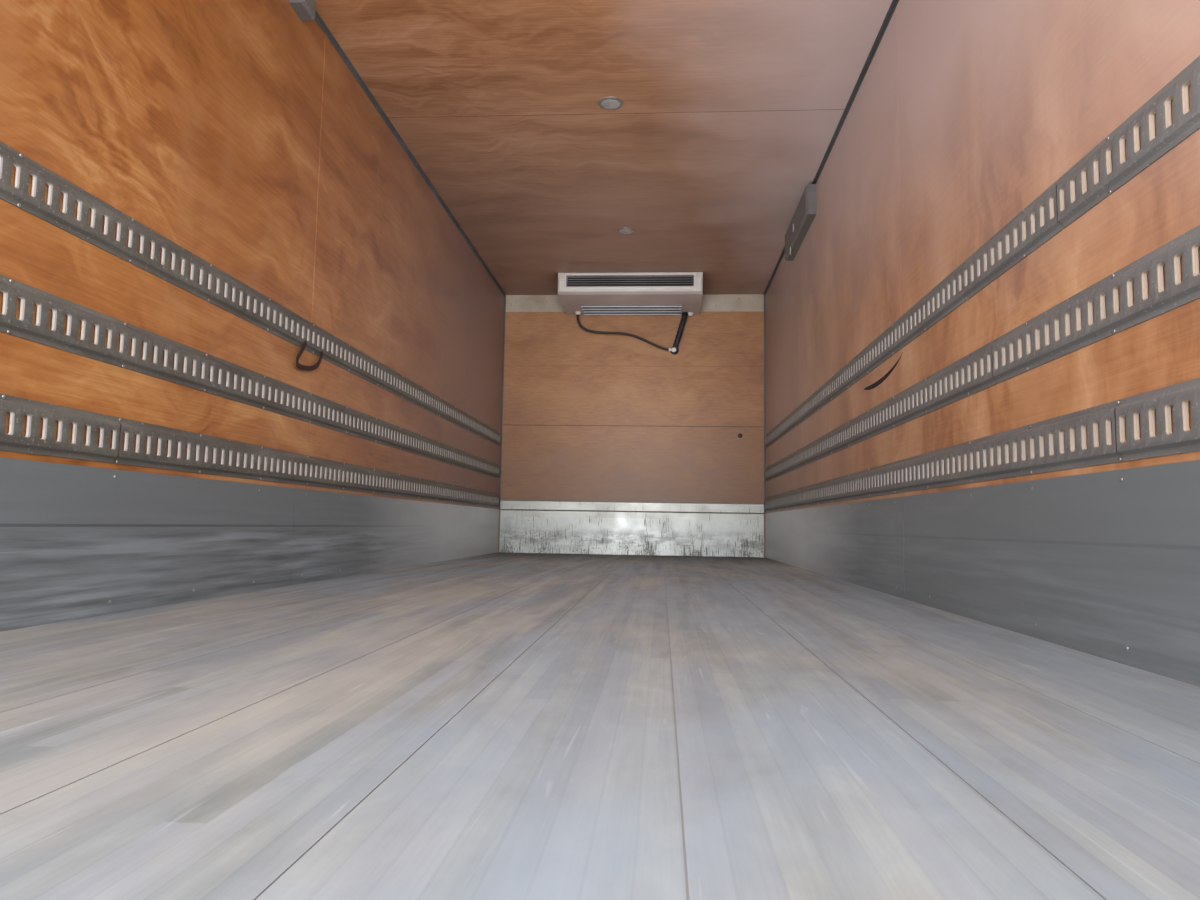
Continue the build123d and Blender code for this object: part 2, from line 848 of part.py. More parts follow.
def unit_profile(inset):
    low, high = unit_levels()
    back, front = nose_face, nose_face + unit_depth - inset
    low, high = low + inset, high - inset
    outline = Polygon((back, low), (front - unit_chin, low), (front, low + unit_chin), (front, high),
                      (back, high), align=None)
    crown = outline.vertices().sort_by(Axis.X)[-2:].sort_by(Axis.Y)[-1]
    return fillet(crown, unit_crown - inset)


def unit_housing():
    half = unit_width / 2
    shell = extrude(Plane.YZ * unit_profile(0), amount=half, dir=(1, 0, 0), both=True)
    shell -= extrude(Plane.YZ * unit_profile(unit_wall), amount=half - unit_wall, dir=(1, 0, 0), both=True)
    low = unit_levels()[0]
    z = low + window_level
    for way in (-1, 1):
        x = way * window_spread / 2
        window = block((x - window_width / 2, x + window_width / 2),
                       (nose_face + unit_depth - 3 * unit_wall, nose_face + unit_depth + unit_wall),
                       (z - window_height / 2, z + window_height / 2))
        shell -= fillet(window.edges().filter_by(Axis.Y), window_corner)
    return shell


def unit_grilles():
    low = unit_levels()[0]
    z = low + window_level
    front = nose_face + unit_depth
    grilles = []
    half_w, half_h = window_width / 2 - grille_fit, window_height / 2 - grille_fit
    for way in (-1, 1):
        x = way * window_spread / 2
        frame = block((x - half_w, x + half_w), (front - grille_depth, front), (z - half_h, z + half_h))
        frame = fillet(frame.edges().filter_by(Axis.Y), window_corner)
        inner_w, inner_h = half_w - grille_frame, half_h - grille_frame
        hole = block((x - inner_w, x + inner_w), (front - grille_depth, front), (z - inner_h, z + inner_h))
        frame -= fillet(hole.edges().filter_by(Axis.Y), window_corner - grille_frame)
        pitch = 2 * inner_h / (grille_slats + 1)
        for i in range(grille_slats):
            level = z - inner_h + (i + 1) * pitch
            frame += block((x - half_w + grille_frame / 2, x + half_w - grille_frame / 2),
                           (front - grille_depth + grille_slat_setback, front - grille_slat_setback),
                           (level - grille_slat_height / 2, level + grille_slat_height / 2))
        grilles.append(frame)
    return Compound(children=grilles)


def unit_coil():
    low, high = unit_levels()
    half = unit_width / 2 - coil_margin
    coil = block((-half, half), (nose_face, nose_face + coil_depth), (low + coil_margin, high - coil_margin))
    z = low + window_level
    for way in (-1, 1):
        x = way * window_spread / 2
        base = nose_face + coil_depth
        coil += Pos(x, base + motor_length / 2, z) * Rot(90, 0, 0) * Cylinder(motor_radius, motor_length)
        shaft_mid = base + motor_length + shaft_length / 2
        coil += Pos(x, shaft_mid, z) * Rot(90, 0, 0) * Cylinder(shaft_radius, shaft_length)
    return coil


def fan(way):
    z = unit_levels()[0] + window_level
    start = nose_face + coil_depth + motor_length + hub_gap
    hub = Pos(0, start + hub_length / 2, 0) * Rot(90, 0, 0) * Cylinder(hub_radius, hub_length)
    for i in range(blade_count):
        blade = Rot(0, 0, blade_pitch) * Box(blade_chord, blade_sheet, fan_radius - hub_radius / 2)
        blade = Pos(0, start + hub_length / 2, (fan_radius + hub_radius / 2) / 2) * blade
        hub += Rot(0, 360 * i / blade_count, 0) * blade
    bore = shaft_length - hub_gap + 1
    hub -= Pos(0, start + bore / 2, 0) * Rot(90, 0, 0) * Cylinder(shaft_radius + pin_clearance, bore)
    return Pos(way * window_spread / 2, 0, z) * hub


nodes = {
    "sill_left": sill(-1),
    "sill_right": sill(1),
    "cross_members": cross_members(),
    "mounting_feet": mounting_feet(),
    "floor_slab": floor_slab(),
    "floor_deck": floor_deck(),
    "wall_left": side_wall(-1),
    "wall_right": side_wall(1),
    "wall_front": front_wall(),
    "roof": roof(),
    "lining_left": side_plywood(-1),
    "lining_right": side_plywood(1),
    "lining_front": front_plywood(),
    "lining_roof": roof_plywood(),
    "front_top_strip": front_top_strip(),
    "kick_left": side_kick(-1),
    "kick_right": side_kick(1),
    "kick_front": front_kick(),
    "ceiling_angles": ceiling_angles(),
    "corner_angles": corner_angles(),
    "rear_portal": rear_portal(),
    "edge_profiles": edge_profiles(),
    "marker_lamps": marker_lamps(),
    "buffers": buffers(),
    "hinge_brackets": hinge_brackets(),
    "evaporator_housing": evaporator_housing() + hose_ferrule_boss(),
    "evaporator_louvres": Compound(children=[evaporator_outlet(), evaporator_intake()]),
    "pipe_bundle": pipe_bundle(),
    "drain_hose": drain_hose(),
    "ceiling_lamps": ceiling_lamps(),
    "wall_boxes": wall_boxes(),
    "wall_strap": wall_strap(),
    "unit_housing": unit_housing(),
    "unit_grilles": unit_grilles(),
    "unit_coil": unit_coil(),
}
for side, name in ((-1, "left"), (1, "right")):
    for place, height in rail_heights.items():
        nodes[f"rail_{name}_{place}"] = lashing_rail(side, height)
    nodes[f"door_{name}"] = door_leaf(side)
    nodes[f"door_seal_{name}"] = door_seal(side)
    nodes[f"door_hardware_{name}"] = door_hardware(side)
    nodes[f"fan_{name}"] = fan(side)

os.makedirs("parts", exist_ok=True)
for name, shape in nodes.items():
    export_step(shape, f"parts/{name}.step")
print("rear face", rear_face, "front lining", front_face, "nose", nose_face)
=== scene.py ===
import math
import random
import bmesh
import bpy
from mathutils import Matrix, Vector


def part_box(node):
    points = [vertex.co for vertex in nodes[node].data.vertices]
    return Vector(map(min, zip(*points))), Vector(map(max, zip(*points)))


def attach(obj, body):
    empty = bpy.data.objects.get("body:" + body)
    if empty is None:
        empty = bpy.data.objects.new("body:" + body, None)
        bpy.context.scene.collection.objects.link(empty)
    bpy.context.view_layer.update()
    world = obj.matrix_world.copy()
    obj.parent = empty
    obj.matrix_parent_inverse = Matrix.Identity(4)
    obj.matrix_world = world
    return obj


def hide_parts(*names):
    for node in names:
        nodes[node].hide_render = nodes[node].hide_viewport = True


# Insulated box body of a refrigerated truck, seen from just inside its rear doorway.
# Metres. +Z up, +Y towards the cab, +X to the right. The frame's own pieces keep their places.

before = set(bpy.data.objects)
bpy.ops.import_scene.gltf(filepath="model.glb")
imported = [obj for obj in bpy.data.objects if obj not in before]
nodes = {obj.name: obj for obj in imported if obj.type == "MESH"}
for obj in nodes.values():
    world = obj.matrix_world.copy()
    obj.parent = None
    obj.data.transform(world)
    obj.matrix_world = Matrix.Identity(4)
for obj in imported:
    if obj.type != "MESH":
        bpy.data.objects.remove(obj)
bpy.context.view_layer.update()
rng = random.Random(12)
print("frame loaded:", len(nodes), "nodes")

# Planes that the pieces hang on, read from the frame
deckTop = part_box("lining_left")[0].z
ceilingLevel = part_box("lining_left")[1].z
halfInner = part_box("lining_front")[1].x
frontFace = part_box("lining_front")[0].y
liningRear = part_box("lining_left")[0].y
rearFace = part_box("edge_profiles")[0].y
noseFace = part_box("wall_front")[1].y
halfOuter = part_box("wall_right")[1].x
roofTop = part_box("roof")[1].z


# sRGB hex to the linear colour that a socket takes
def hexColour(code):
    channels = [int(code[i:i + 2], 16) / 255 for i in (1, 3, 5)]
    return tuple(c / 12.92 if c <= 0.04045 else ((c + 0.055) / 1.055) ** 2.4 for c in channels) + (1.0,)


# A node's first live output, or the output itself
def outputOf(source):
    if isinstance(source, bpy.types.Node):
        return next(out for out in source.outputs if out.enabled)
    return source


# Adds a node with its settings and links. Maths nodes have their operation after the kind, "stops" are a
# ramp's (position, colour) pairs, and a colour is given as its hex code
def addNode(tree, kind, settings=None, links=None):
    kind, _, operation = kind.partition(" ")
    node = tree.nodes.new("ShaderNode" + kind)
    if operation:
        node.operation = operation
    if kind == "Mix":
        node.data_type = "RGBA"
    for name, value in (settings or {}).items():
        if name == "stops":
            ramp = node.color_ramp.elements
            ramp.remove(ramp[-1])
            ramp[0].position, ramp[0].color = value[0][0], hexColour(value[0][1])
            for position, code in value[1:]:
                ramp.new(position).color = hexColour(code)
        elif isinstance(name, str) and hasattr(node, name):
            setattr(node, name, value)
        else:
            node.inputs[name].default_value = hexColour(value) if isinstance(value, str) else value
    for name, source in (links or {}).items():
        tree.links.new(outputOf(source), node.inputs[name])
    return node


# A new material with plain values on its shader; returns what the patterns below need
def newMaterial(name, values):
    material = bpy.data.materials.new(name)
    material.use_nodes = True
    tree = material.node_tree
    shader = tree.nodes["Principled BSDF"]
    for socket, value in values.items():
        shader.inputs[socket].default_value = hexColour(value) if isinstance(value, str) else value
    place = addNode(tree, "TexCoord").outputs["Object"]
    return material, tree, shader, place


# Noise drawn out by its own scale along each axis, as streaks, grain and smears are
def streaks(tree, place, scale, detail, roughness=0.5, distortion=0.0, turn=0.0):
    drawn = addNode(tree, "Mapping", {"Scale": scale, "Rotation": (0, 0, turn)}, {"Vector": place})
    return addNode(tree, "TexNoise", {"Scale": 1.0, "Detail": detail, "Roughness": roughness,
                                      "Distortion": distortion}, {"Vector": drawn})


# Coats laid over one another, each as (how far it shows, its colour)
def coats(tree, ground, layers):
    for share, code in layers:
        ground = addNode(tree, "Mix", {7: code}, {0: share, 6: ground})
    return ground


# Ends a material: its colour, its gloss as (pattern, from, to, smooth, rough), its relief as (pattern,
# strength, depth)
def finishSurface(tree, shader, colour, gloss, relief=None):
    pattern, start, end, smooth, rough = gloss
    ends = {"Base Color": colour,
            "Roughness": addNode(tree, "MapRange", {1: start, 2: end, 3: smooth, 4: rough}, {0: pattern})}
    if relief:
        pattern, strength, depth = relief
        ends["Normal"] = addNode(tree, "Bump", {"Strength": strength, "Distance": depth},
                                 {"Height": pattern})
    for socket, source in ends.items():
        tree.links.new(outputOf(source), shader.inputs[socket])


# Camera: where the photograph was taken, low in the doorway and a little right of the middle
cameraSet = {"place": (0.2690, -3.8072, 0.5785), "turn": 4.1649, "tilt": 5.0519, "roll": 0.9436,
             "focalPixels": 852.09, "photoWidth": 1200, "sensor": 36.0, "nearest": 0.02, "farthest": 200}


def makeCamera():
    turn, tilt, roll = (math.radians(cameraSet[key]) for key in ("turn", "tilt", "roll"))
    ahead = Vector((-math.sin(turn) * math.cos(tilt), math.cos(turn) * math.cos(tilt), math.sin(tilt)))
    right = Vector((math.cos(turn), math.sin(turn), 0))
    above = right.cross(ahead)
    rolledRight = right * math.cos(roll) + above * math.sin(roll)
    rolledUp = above * math.cos(roll) - right * math.sin(roll)
    data = bpy.data.cameras.new("doorwayCamera")
    data.sensor_width = cameraSet["sensor"]
    data.lens = cameraSet["focalPixels"] / cameraSet["photoWidth"] * cameraSet["sensor"]
    data.clip_start, data.clip_end = cameraSet["nearest"], cameraSet["farthest"]
    camera = bpy.data.objects.new("doorwayCamera", data)
    bpy.context.scene.collection.objects.link(camera)
    camera.matrix_world = Matrix.Translation(cameraSet["place"]) @ Matrix(
        (rolledRight, rolledUp, -ahead)).transposed().to_4x4()
    bpy.context.scene.camera = camera


makeCamera()
print("camera placed")


# Rotary-cut plywood under clear varnish: contour-like figure, fibre along the grain, pale sheen across it
plySet = {"doorRun": (1.7, 0.3), "doorShade": "#5E4938", "seamShade": "#3F3026", "burrReach": (0.22, 0.62)}


def varnishedPly(name, look):
    material, tree, shader, place = newMaterial(
        name, {"IOR": 1.5, "Coat Weight": look["varnish"], "Coat Roughness": 0.25})
    split = addNode(tree, "SeparateXYZ", {}, {0: place})
    warp = addNode(tree, "TexNoise", {"Scale": look["warpScale"], "Detail": 2.0}, {"Vector": place})
    centred = addNode(tree, "VectorMath SUBTRACT", {1: (0.5, 0.5, 0.5)}, {0: warp.outputs["Color"]})
    bent = addNode(tree, "VectorMath MULTIPLY_ADD", {1: [look["warp"]] * 3}, {0: centred, 2: place})
    field = streaks(tree, bent, look["figureScale"], look["knots"], 0.58)
    rings = addNode(tree, "Math MULTIPLY", {1: look["rings"] * 2 * math.pi}, {0: field})
    lines = addNode(tree, "Math SINE", {}, {0: rings})
    patches = addNode(tree, "TexNoise", {"Scale": look["patchScale"], "Detail": 1.0}, {"Vector": place})
    lively = addNode(tree, "MapRange", {1: 0.46, 2: 0.62, 3: look["calm"], 4: look["lively"]}, {0: patches})
    # A burr, where the figure curls and crowds
    away = addNode(tree, "VectorMath DISTANCE", {1: look["burr"]}, {0: bent})
    near, far = plySet["burrReach"]
    burr = addNode(tree, "MapRange", {1: near, 2: far, 3: look["burrDepth"], 4: 0.0}, {0: away})
    strength = addNode(tree, "Math MAXIMUM", {}, {0: lively, 1: burr})
    figure = addNode(tree, "Math MULTIPLY", {}, {0: lines, 1: strength})
    fibre = streaks(tree, place, look["fibreScale"], 3.0, 0.6)
    blotch = streaks(tree, bent, look["blotchScale"], 7.0, 0.62)
    soft = addNode(tree, "Math MULTIPLY_ADD", {1: look["blotches"], 2: 0.5 - look["blotches"] / 2},
                   {0: blotch})
    tone = addNode(tree, "Math ADD", {}, {0: soft, 1: figure})
    fine = addNode(tree, "Math MULTIPLY_ADD", {1: look["fibres"]}, {0: fibre, 2: tone})
    level = addNode(tree, "Math SUBTRACT", {1: look["fibres"] / 2}, {0: fine})
    wood = addNode(tree, "ValToRGB", {"stops": look["stops"]}, {"Fac": level})
    flecks = streaks(tree, bent, look["sheenScale"], 2.0)
    sheen = addNode(tree, "MapRange", {1: 0.54, 2: 0.74, 3: 0.0, 4: look["sheen"]}, {0: flecks})
    layers = [(sheen, look["sheenColour"])]
    # Dust mixed with painted shade, then a painted tint for the light (a pale glare, or a deeper orange on
    # the left), each growing along one line of the sheet
    for kind in ("fade", "paintedLight"):
        axis = addNode(tree, "VectorMath DOT_PRODUCT", {1: look[kind + "Axis"]}, {0: bent})
        grown = {1: look[kind + "From"], 2: look[kind + "To"], 3: 0.0, 4: look[kind]}
        layers.append((addNode(tree, "MapRange", grown, {0: axis}), look[kind + "Colour"]))
    # Painted shade: darker over the last steps before the doorway, where its light falls strongest
    start, end = (rearFace + run for run in plySet["doorRun"])
    nearDoor = addNode(tree, "MapRange", {1: start, 2: end, 3: 0.0, 4: look["doorwayShade"]},
                       {0: split.outputs[1]})
    layers.append((nearDoor, plySet["doorShade"]))
    # Dark lines where two sheets meet
    for axisNumber, at, half, depth in look["seams"]:
        onSeam = addNode(tree, "Math COMPARE", {1: at, 2: half}, {0: split.outputs[axisNumber]})
        layers.append((addNode(tree, "Math MULTIPLY", {1: depth}, {0: onSeam}), plySet["seamShade"]))
    roughness = look["roughness"]
    finishSurface(tree, shader, coats(tree, wood, layers),
                  (blotch, 0.3, 0.7, roughness - 0.07, roughness + 0.1),
                  (fibre, 0.25, 0.0006))
    return material


# Worn laminated hardwood: narrow strips glued side by side, each of its own tone, polished grey by traffic
deckLook = {"strip": 0.036, "piece": 1.35, "fibre": (260.0, 2.5, 1.0), "wear": (11.0, 0.8, 1.0),
            "mottle": (14.0, 6.0, 1.0), "clouds": (2.6, 0.9, 1.0), "scratches": (60.0, 3.4, 1.0),
            "scratchTurn": 0.16, "dirt": "#8E8B86", "frontWallShade": "#55534D", "lilac": "#898C96",
            "beige": "#ACA698", "blue": "#8D9AA2", "scratch": "#BCC0C2",
            "glue": "#4F4B48", "frontWallShadeRun": (1.9, 0.05), "jointDepth": 0.0004,
            "stops": [(0.22, "#6C6F6A"), (0.4, "#81847F"), (0.55, "#939590"), (0.7, "#A3A59E"),
                      (0.88, "#B3B3AA")]}


def deckBoards():
    material, tree, shader, place = newMaterial("laminatedHardwoodDeck",
                                                {"IOR": 1.45, "Specular IOR Level": 0.3})
    split = addNode(tree, "SeparateXYZ", {}, {0: place})
    # Strips and the pieces along them, each with its own chance of being lighter
    strip = addNode(tree, "Math DIVIDE", {1: deckLook["strip"]}, {0: split.outputs[0]})
    number = addNode(tree, "Math FLOOR", {}, {0: strip})
    shift = addNode(tree, "TexWhiteNoise", {"noise_dimensions": "1D"}, {"W": number})
    run = addNode(tree, "Math DIVIDE", {1: deckLook["piece"]}, {0: split.outputs[1]})
    offset = addNode(tree, "Math ADD", {}, {0: run, 1: shift})
    piece = addNode(tree, "Math FLOOR", {}, {0: offset})
    mark = addNode(tree, "CombineXYZ", {}, {0: number, 1: piece})
    chance = addNode(tree, "TexWhiteNoise", {"noise_dimensions": "3D"}, {"Vector": mark})
    fibre = streaks(tree, place, deckLook["fibre"], 3.0, 0.6)
    # Wear drawn out by wheels and pallets, small mottling and broad stains
    wear = streaks(tree, place, deckLook["wear"], 6.0, 0.62, 0.35)
    mottle = streaks(tree, place, deckLook["mottle"], 5.0, 0.6, 0.5)
    clouds = streaks(tree, place, deckLook["clouds"], 5.0, distortion=0.4)
    level = None
    for tone, share in ((chance, 0.13), (wear, 0.55), (mottle, 0.38), (fibre, 0.12)):
        links = {0: tone, 2: level} if level else {0: tone}
        level = addNode(tree, "Math MULTIPLY_ADD", {1: share, 2: -0.09}, links)
    wood = addNode(tree, "ValToRGB", {"stops": deckLook["stops"]}, {"Fac": level})
    hues = addNode(tree, "SeparateColor", {}, {0: chance.outputs["Color"]})
    # Thin pale scratches, mostly along the load space
    scratches = streaks(tree, place, deckLook["scratches"], 2.0, distortion=0.8,
                        turn=deckLook["scratchTurn"])
    # Glue lines between the strips, dirt in the open joints, and painted shade darkening the deck towards
    # the front wall
    within = addNode(tree, "Math FRACT", {}, {0: strip})
    offLine = addNode(tree, "Math COMPARE", {1: 0.5, 2: 0.46}, {0: within})
    inJoint = addNode(tree, "Math LESS_THAN", {1: deckTop - deckLook["jointDepth"]}, {0: split.outputs[2]})
    far, near = (frontFace - run for run in deckLook["frontWallShadeRun"])
    layers = []
    for pattern, start, end, least, most, colour in (
            (hues.outputs[1], 0.4, 0.7, 0.0, 0.26, deckLook["lilac"]),
            (clouds, 0.48, 0.66, 0.0, 0.55, deckLook["blue"]),
            (clouds, 0.5, 0.34, 0.0, 0.5, deckLook["beige"]),
            (scratches, 0.66, 0.76, 0.0, 0.28, deckLook["scratch"]),
            (offLine, 0.0, 1.0, 0.07, 0.0, deckLook["glue"]),
            (inJoint, 0.0, 1.0, 0.0, 1.0, deckLook["dirt"]),
            (split.outputs[1], far, near, 0.0, 0.8, deckLook["frontWallShade"])):
        layers.append((addNode(tree, "MapRange", {1: start, 2: end, 3: least, 4: most}, {0: pattern}),
                       colour))
    finishSurface(tree, shader, coats(tree, wood, layers), (wear, 0.35, 0.65, 0.8, 0.58),
                  (level, 0.3, 0.0008))
    return material


# Painted steel, rubbed through along its length by loads; bare zinc plates stand at the far end, their long
# fade from the paint also a painted reflection of the bright front plate
kickLook = {"paint": "#767C7C", "rubbed": "#9CA4A7", "dark": "#464A4C", "zinc": "#C6C9C6", "rightCalm": 0.4,
            "scuffTop": 0.225, "lineHeight": 0.232, "lineHalf": 0.0035, "zincFrom": 1.95, "fadeRun": 1.6}


def scuffedKick():
    material, tree, shader, place = newMaterial("scuffedPaintedSteel", {"Metallic": 0.15})
    split = addNode(tree, "SeparateXYZ", {}, {0: place})
    height = addNode(tree, "Math SUBTRACT", {1: deckTop}, {0: split.outputs[2]})
    strokes = streaks(tree, place, (1.0, 1.6, 42.0), 6.0, 0.62)
    broad = streaks(tree, place, (1.0, 0.9, 7.0), 4.0, 0.6)
    scuffTop = kickLook["scuffTop"]
    zone = addNode(tree, "MapRange", {1: scuffTop + 0.012, 2: scuffTop - 0.03, 3: 0.12, 4: 1.0}, {0: height})
    calm = addNode(tree, "MapRange", {1: -0.1, 2: 0.1, 3: 1.0, 4: kickLook["rightCalm"]},
                   {0: split.outputs[0]})
    zone = addNode(tree, "Math MULTIPLY", {}, {0: zone, 1: calm})
    bare = addNode(tree, "MapRange", {1: 0.46, 2: 0.64, 3: 0.0, 4: 0.85}, {0: strokes})
    lit = addNode(tree, "MapRange", {1: 0.35, 2: 0.62, 3: 0.2, 4: 1.0}, {0: broad})
    rubbing = addNode(tree, "Math MULTIPLY", {}, {0: bare, 1: zone})
    rubbed = addNode(tree, "Math MULTIPLY", {}, {0: rubbing, 1: lit})
    painted = addNode(tree, "Mix", {6: kickLook["paint"], 7: kickLook["rubbed"]}, {0: rubbed})
    # Rub mark where pallets touch, and dark smears under it
    onLine = addNode(tree, "Math COMPARE", {1: kickLook["lineHeight"], 2: kickLook["lineHalf"]}, {0: height})
    low = addNode(tree, "MapRange", {1: 0.34, 2: 0.46, 3: 0.8, 4: 0.0}, {0: strokes})
    smears = addNode(tree, "Math MULTIPLY", {}, {0: low, 1: zone})
    either = addNode(tree, "Math MAXIMUM", {}, {0: smears, 1: onLine})
    softer = addNode(tree, "Math MULTIPLY", {1: 0.6}, {0: either})
    weak = addNode(tree, "Math MULTIPLY", {}, {0: softer, 1: calm})
    # Lighter towards the front wall: bare zinc with a painted reflection
    bareFrom = frontFace - kickLook["zincFrom"]
    far = addNode(tree, "MapRange", {1: bareFrom - kickLook["fadeRun"], 2: bareFrom, 3: 0.0, 4: 0.85},
                  {0: split.outputs[1]})
    colour = coats(tree, painted, [(weak, kickLook["dark"]), (far, kickLook["zinc"])])
    finishSurface(tree, shader, colour, (broad, 0.3, 0.7, 0.3, 0.55), (strokes, 0.3, 0.0008))
    return material


# A painted, moulded or coated surface: one colour, mottled, speckled with dirt and a little uneven
def coated(look):
    varnish = dict(zip(("Coat Weight", "Coat Roughness"), look.get("coat", ())))
    material, tree, shader, place = newMaterial(look["finish"], varnish)
    mottle = addNode(tree, "TexNoise", {"Scale": look["mottleScale"], "Detail": 4.0, "Roughness": 0.55},
                     {"Vector": place})
    ramp = addNode(tree, "ValToRGB", {"stops": look["stops"]}, {"Fac": mottle})
    specks = addNode(tree, "TexNoise", {"Scale": look["speckScale"], "Detail": 3.0, "Roughness": 0.7},
                     {"Vector": place})
    start = look["speckFrom"]
    dirt = addNode(tree, "MapRange", {1: start, 2: start + 0.07, 3: 0.0, 4: look["specks"]}, {0: specks})
    finishSurface(tree, shader, coats(tree, ramp, [(dirt, look["speckColour"])]),
                  (mottle, 0.3, 0.7, *look["roughness"]), (specks, look["bump"], look["bumpDepth"]))
    return material


# Rail paint: brownish grey, dusty and smeared along the rail; the slots' rolled lips fade to bare bright
# steel with a painted highlight, from grey by the crown to near white deep in the slot, where the doorway's
# light falls.
# The right-hand rails are chalky, and their lips dusty, towards the doorway
railLook = {"chalk": 0.20, "lipFrom": 0.0102, "lipTo": 0.0066, "lipShade": "#8D8982", "lip": "#EDE6D8",
            "dust": "#A7A39A", "chalkColour": "#A3A4A6", "tan": "#B39A7C", "chalkRun": (3.0, 6.0),
            "tanRun": (4.4, 5.8), "tanMost": 0.7, "stops": [(0.25, "#4C4943"), (0.45, "#5E5B53"),
                                                            (0.6, "#68655C"), (0.8, "#7C796E")]}


def railPaint():
    material, tree, shader, place = newMaterial("dustyRailPaint", {"IOR": 1.45})
    split = addNode(tree, "SeparateXYZ", {}, {0: place})
    smears = streaks(tree, place, (1.0, 3.0, 26.0), 5.0, 0.6)
    paint = addNode(tree, "ValToRGB", {"stops": railLook["stops"]}, {"Fac": smears})
    specks = addNode(tree, "TexNoise", {"Scale": 110.0, "Detail": 3.0, "Roughness": 0.7}, {"Vector": place})
    dust = addNode(tree, "MapRange", {1: 0.6, 2: 0.7, 3: 0.0, 4: 0.6}, {0: specks})
    onRight = addNode(tree, "Math GREATER_THAN", {1: 0.0}, {0: split.outputs[0]})
    shares = []
    for run, least, most in ((railLook["chalkRun"], railLook["chalk"] / 3, railLook["chalk"]),
                             (railLook["tanRun"], 0.0, railLook["tanMost"])):
        nearer = addNode(tree, "MapRange", {1: frontFace - run[0], 2: frontFace - run[1], 3: least, 4: most},
                         {0: split.outputs[1]})
        shares.append(addNode(tree, "Math MULTIPLY", {}, {0: onRight, 1: nearer}))
    chalked = coats(tree, paint, [(dust, railLook["dust"]), (shares[0], railLook["chalkColour"])])
    # How far a point of the rail stands off the wall
    across = addNode(tree, "Math ABSOLUTE", {}, {0: split.outputs[0]})
    offWall = addNode(tree, "Math SUBTRACT", {0: halfInner}, {1: across})
    # Painted light and shade across the roll: grey near the crown, near white deep in the lip
    inLip = addNode(tree, "MapRange", {1: railLook["lipFrom"], 2: railLook["lipTo"]}, {0: offWall})
    lip = addNode(tree, "Mix", {6: railLook["lipShade"], 7: railLook["lip"]}, {0: inLip})
    tanLip = coats(tree, lip, [(shares[1], railLook["tan"])])
    marks = addNode(tree, "Attribute", {"attribute_name": "slotLip"})
    colour = addNode(tree, "Mix", {}, {0: marks.outputs["Fac"], 6: chalked, 7: tanLip})
    finishSurface(tree, shader, colour, (smears, 0.3, 0.7, 0.38, 0.6), (specks, 0.15, 0.0005))
    return material


# Rolled or brushed metal: fine lines one way, soft cloudy tone, spangles where it is hot-dipped
def brushedMetal(look):
    material, tree, shader, place = newMaterial(look["finish"], {"Metallic": look["metallic"]})
    lines = streaks(tree, place, look["lineScale"], 3.0, 0.6)
    cells = addNode(tree, "TexVoronoi", {"Scale": look["spangleScale"], "feature": "F1"}, {"Vector": place})
    cell = addNode(tree, "SeparateColor", {}, {0: cells.outputs["Color"]})
    clouds = addNode(tree, "TexNoise", {"Scale": look["cloudScale"], "Detail": 4.0}, {"Vector": place})
    mixed = addNode(tree, "Math MULTIPLY_ADD", {1: look["spangle"]}, {0: cell, 2: clouds})
    lined = addNode(tree, "Math MULTIPLY_ADD", {1: look["lines"]}, {0: lines, 2: mixed})
    level = addNode(tree, "Math SUBTRACT", {1: (look["spangle"] + look["lines"]) / 2}, {0: lined})
    ramp = addNode(tree, "ValToRGB", {"stops": look["stops"]}, {"Fac": level})
    finishSurface(tree, shader, ramp, (level, 0.25, 0.75, *look["roughness"]), (lines, 0.2, 0.0005))
    return material


# Galvanised front plate: milky zinc, scratched upright, with dark specks thickening towards the deck
plateLook = {"stops": [(0.3, "#8C8E88"), (0.5, "#A5A79F"), (0.7, "#BFC0B6")], "highlightColour": "#CDD0C8",
             "smearColour": "#6F716B", "smearLevel": 0.13, "lipColour": "#AAA79B", "dirt": "#4A4A46"}


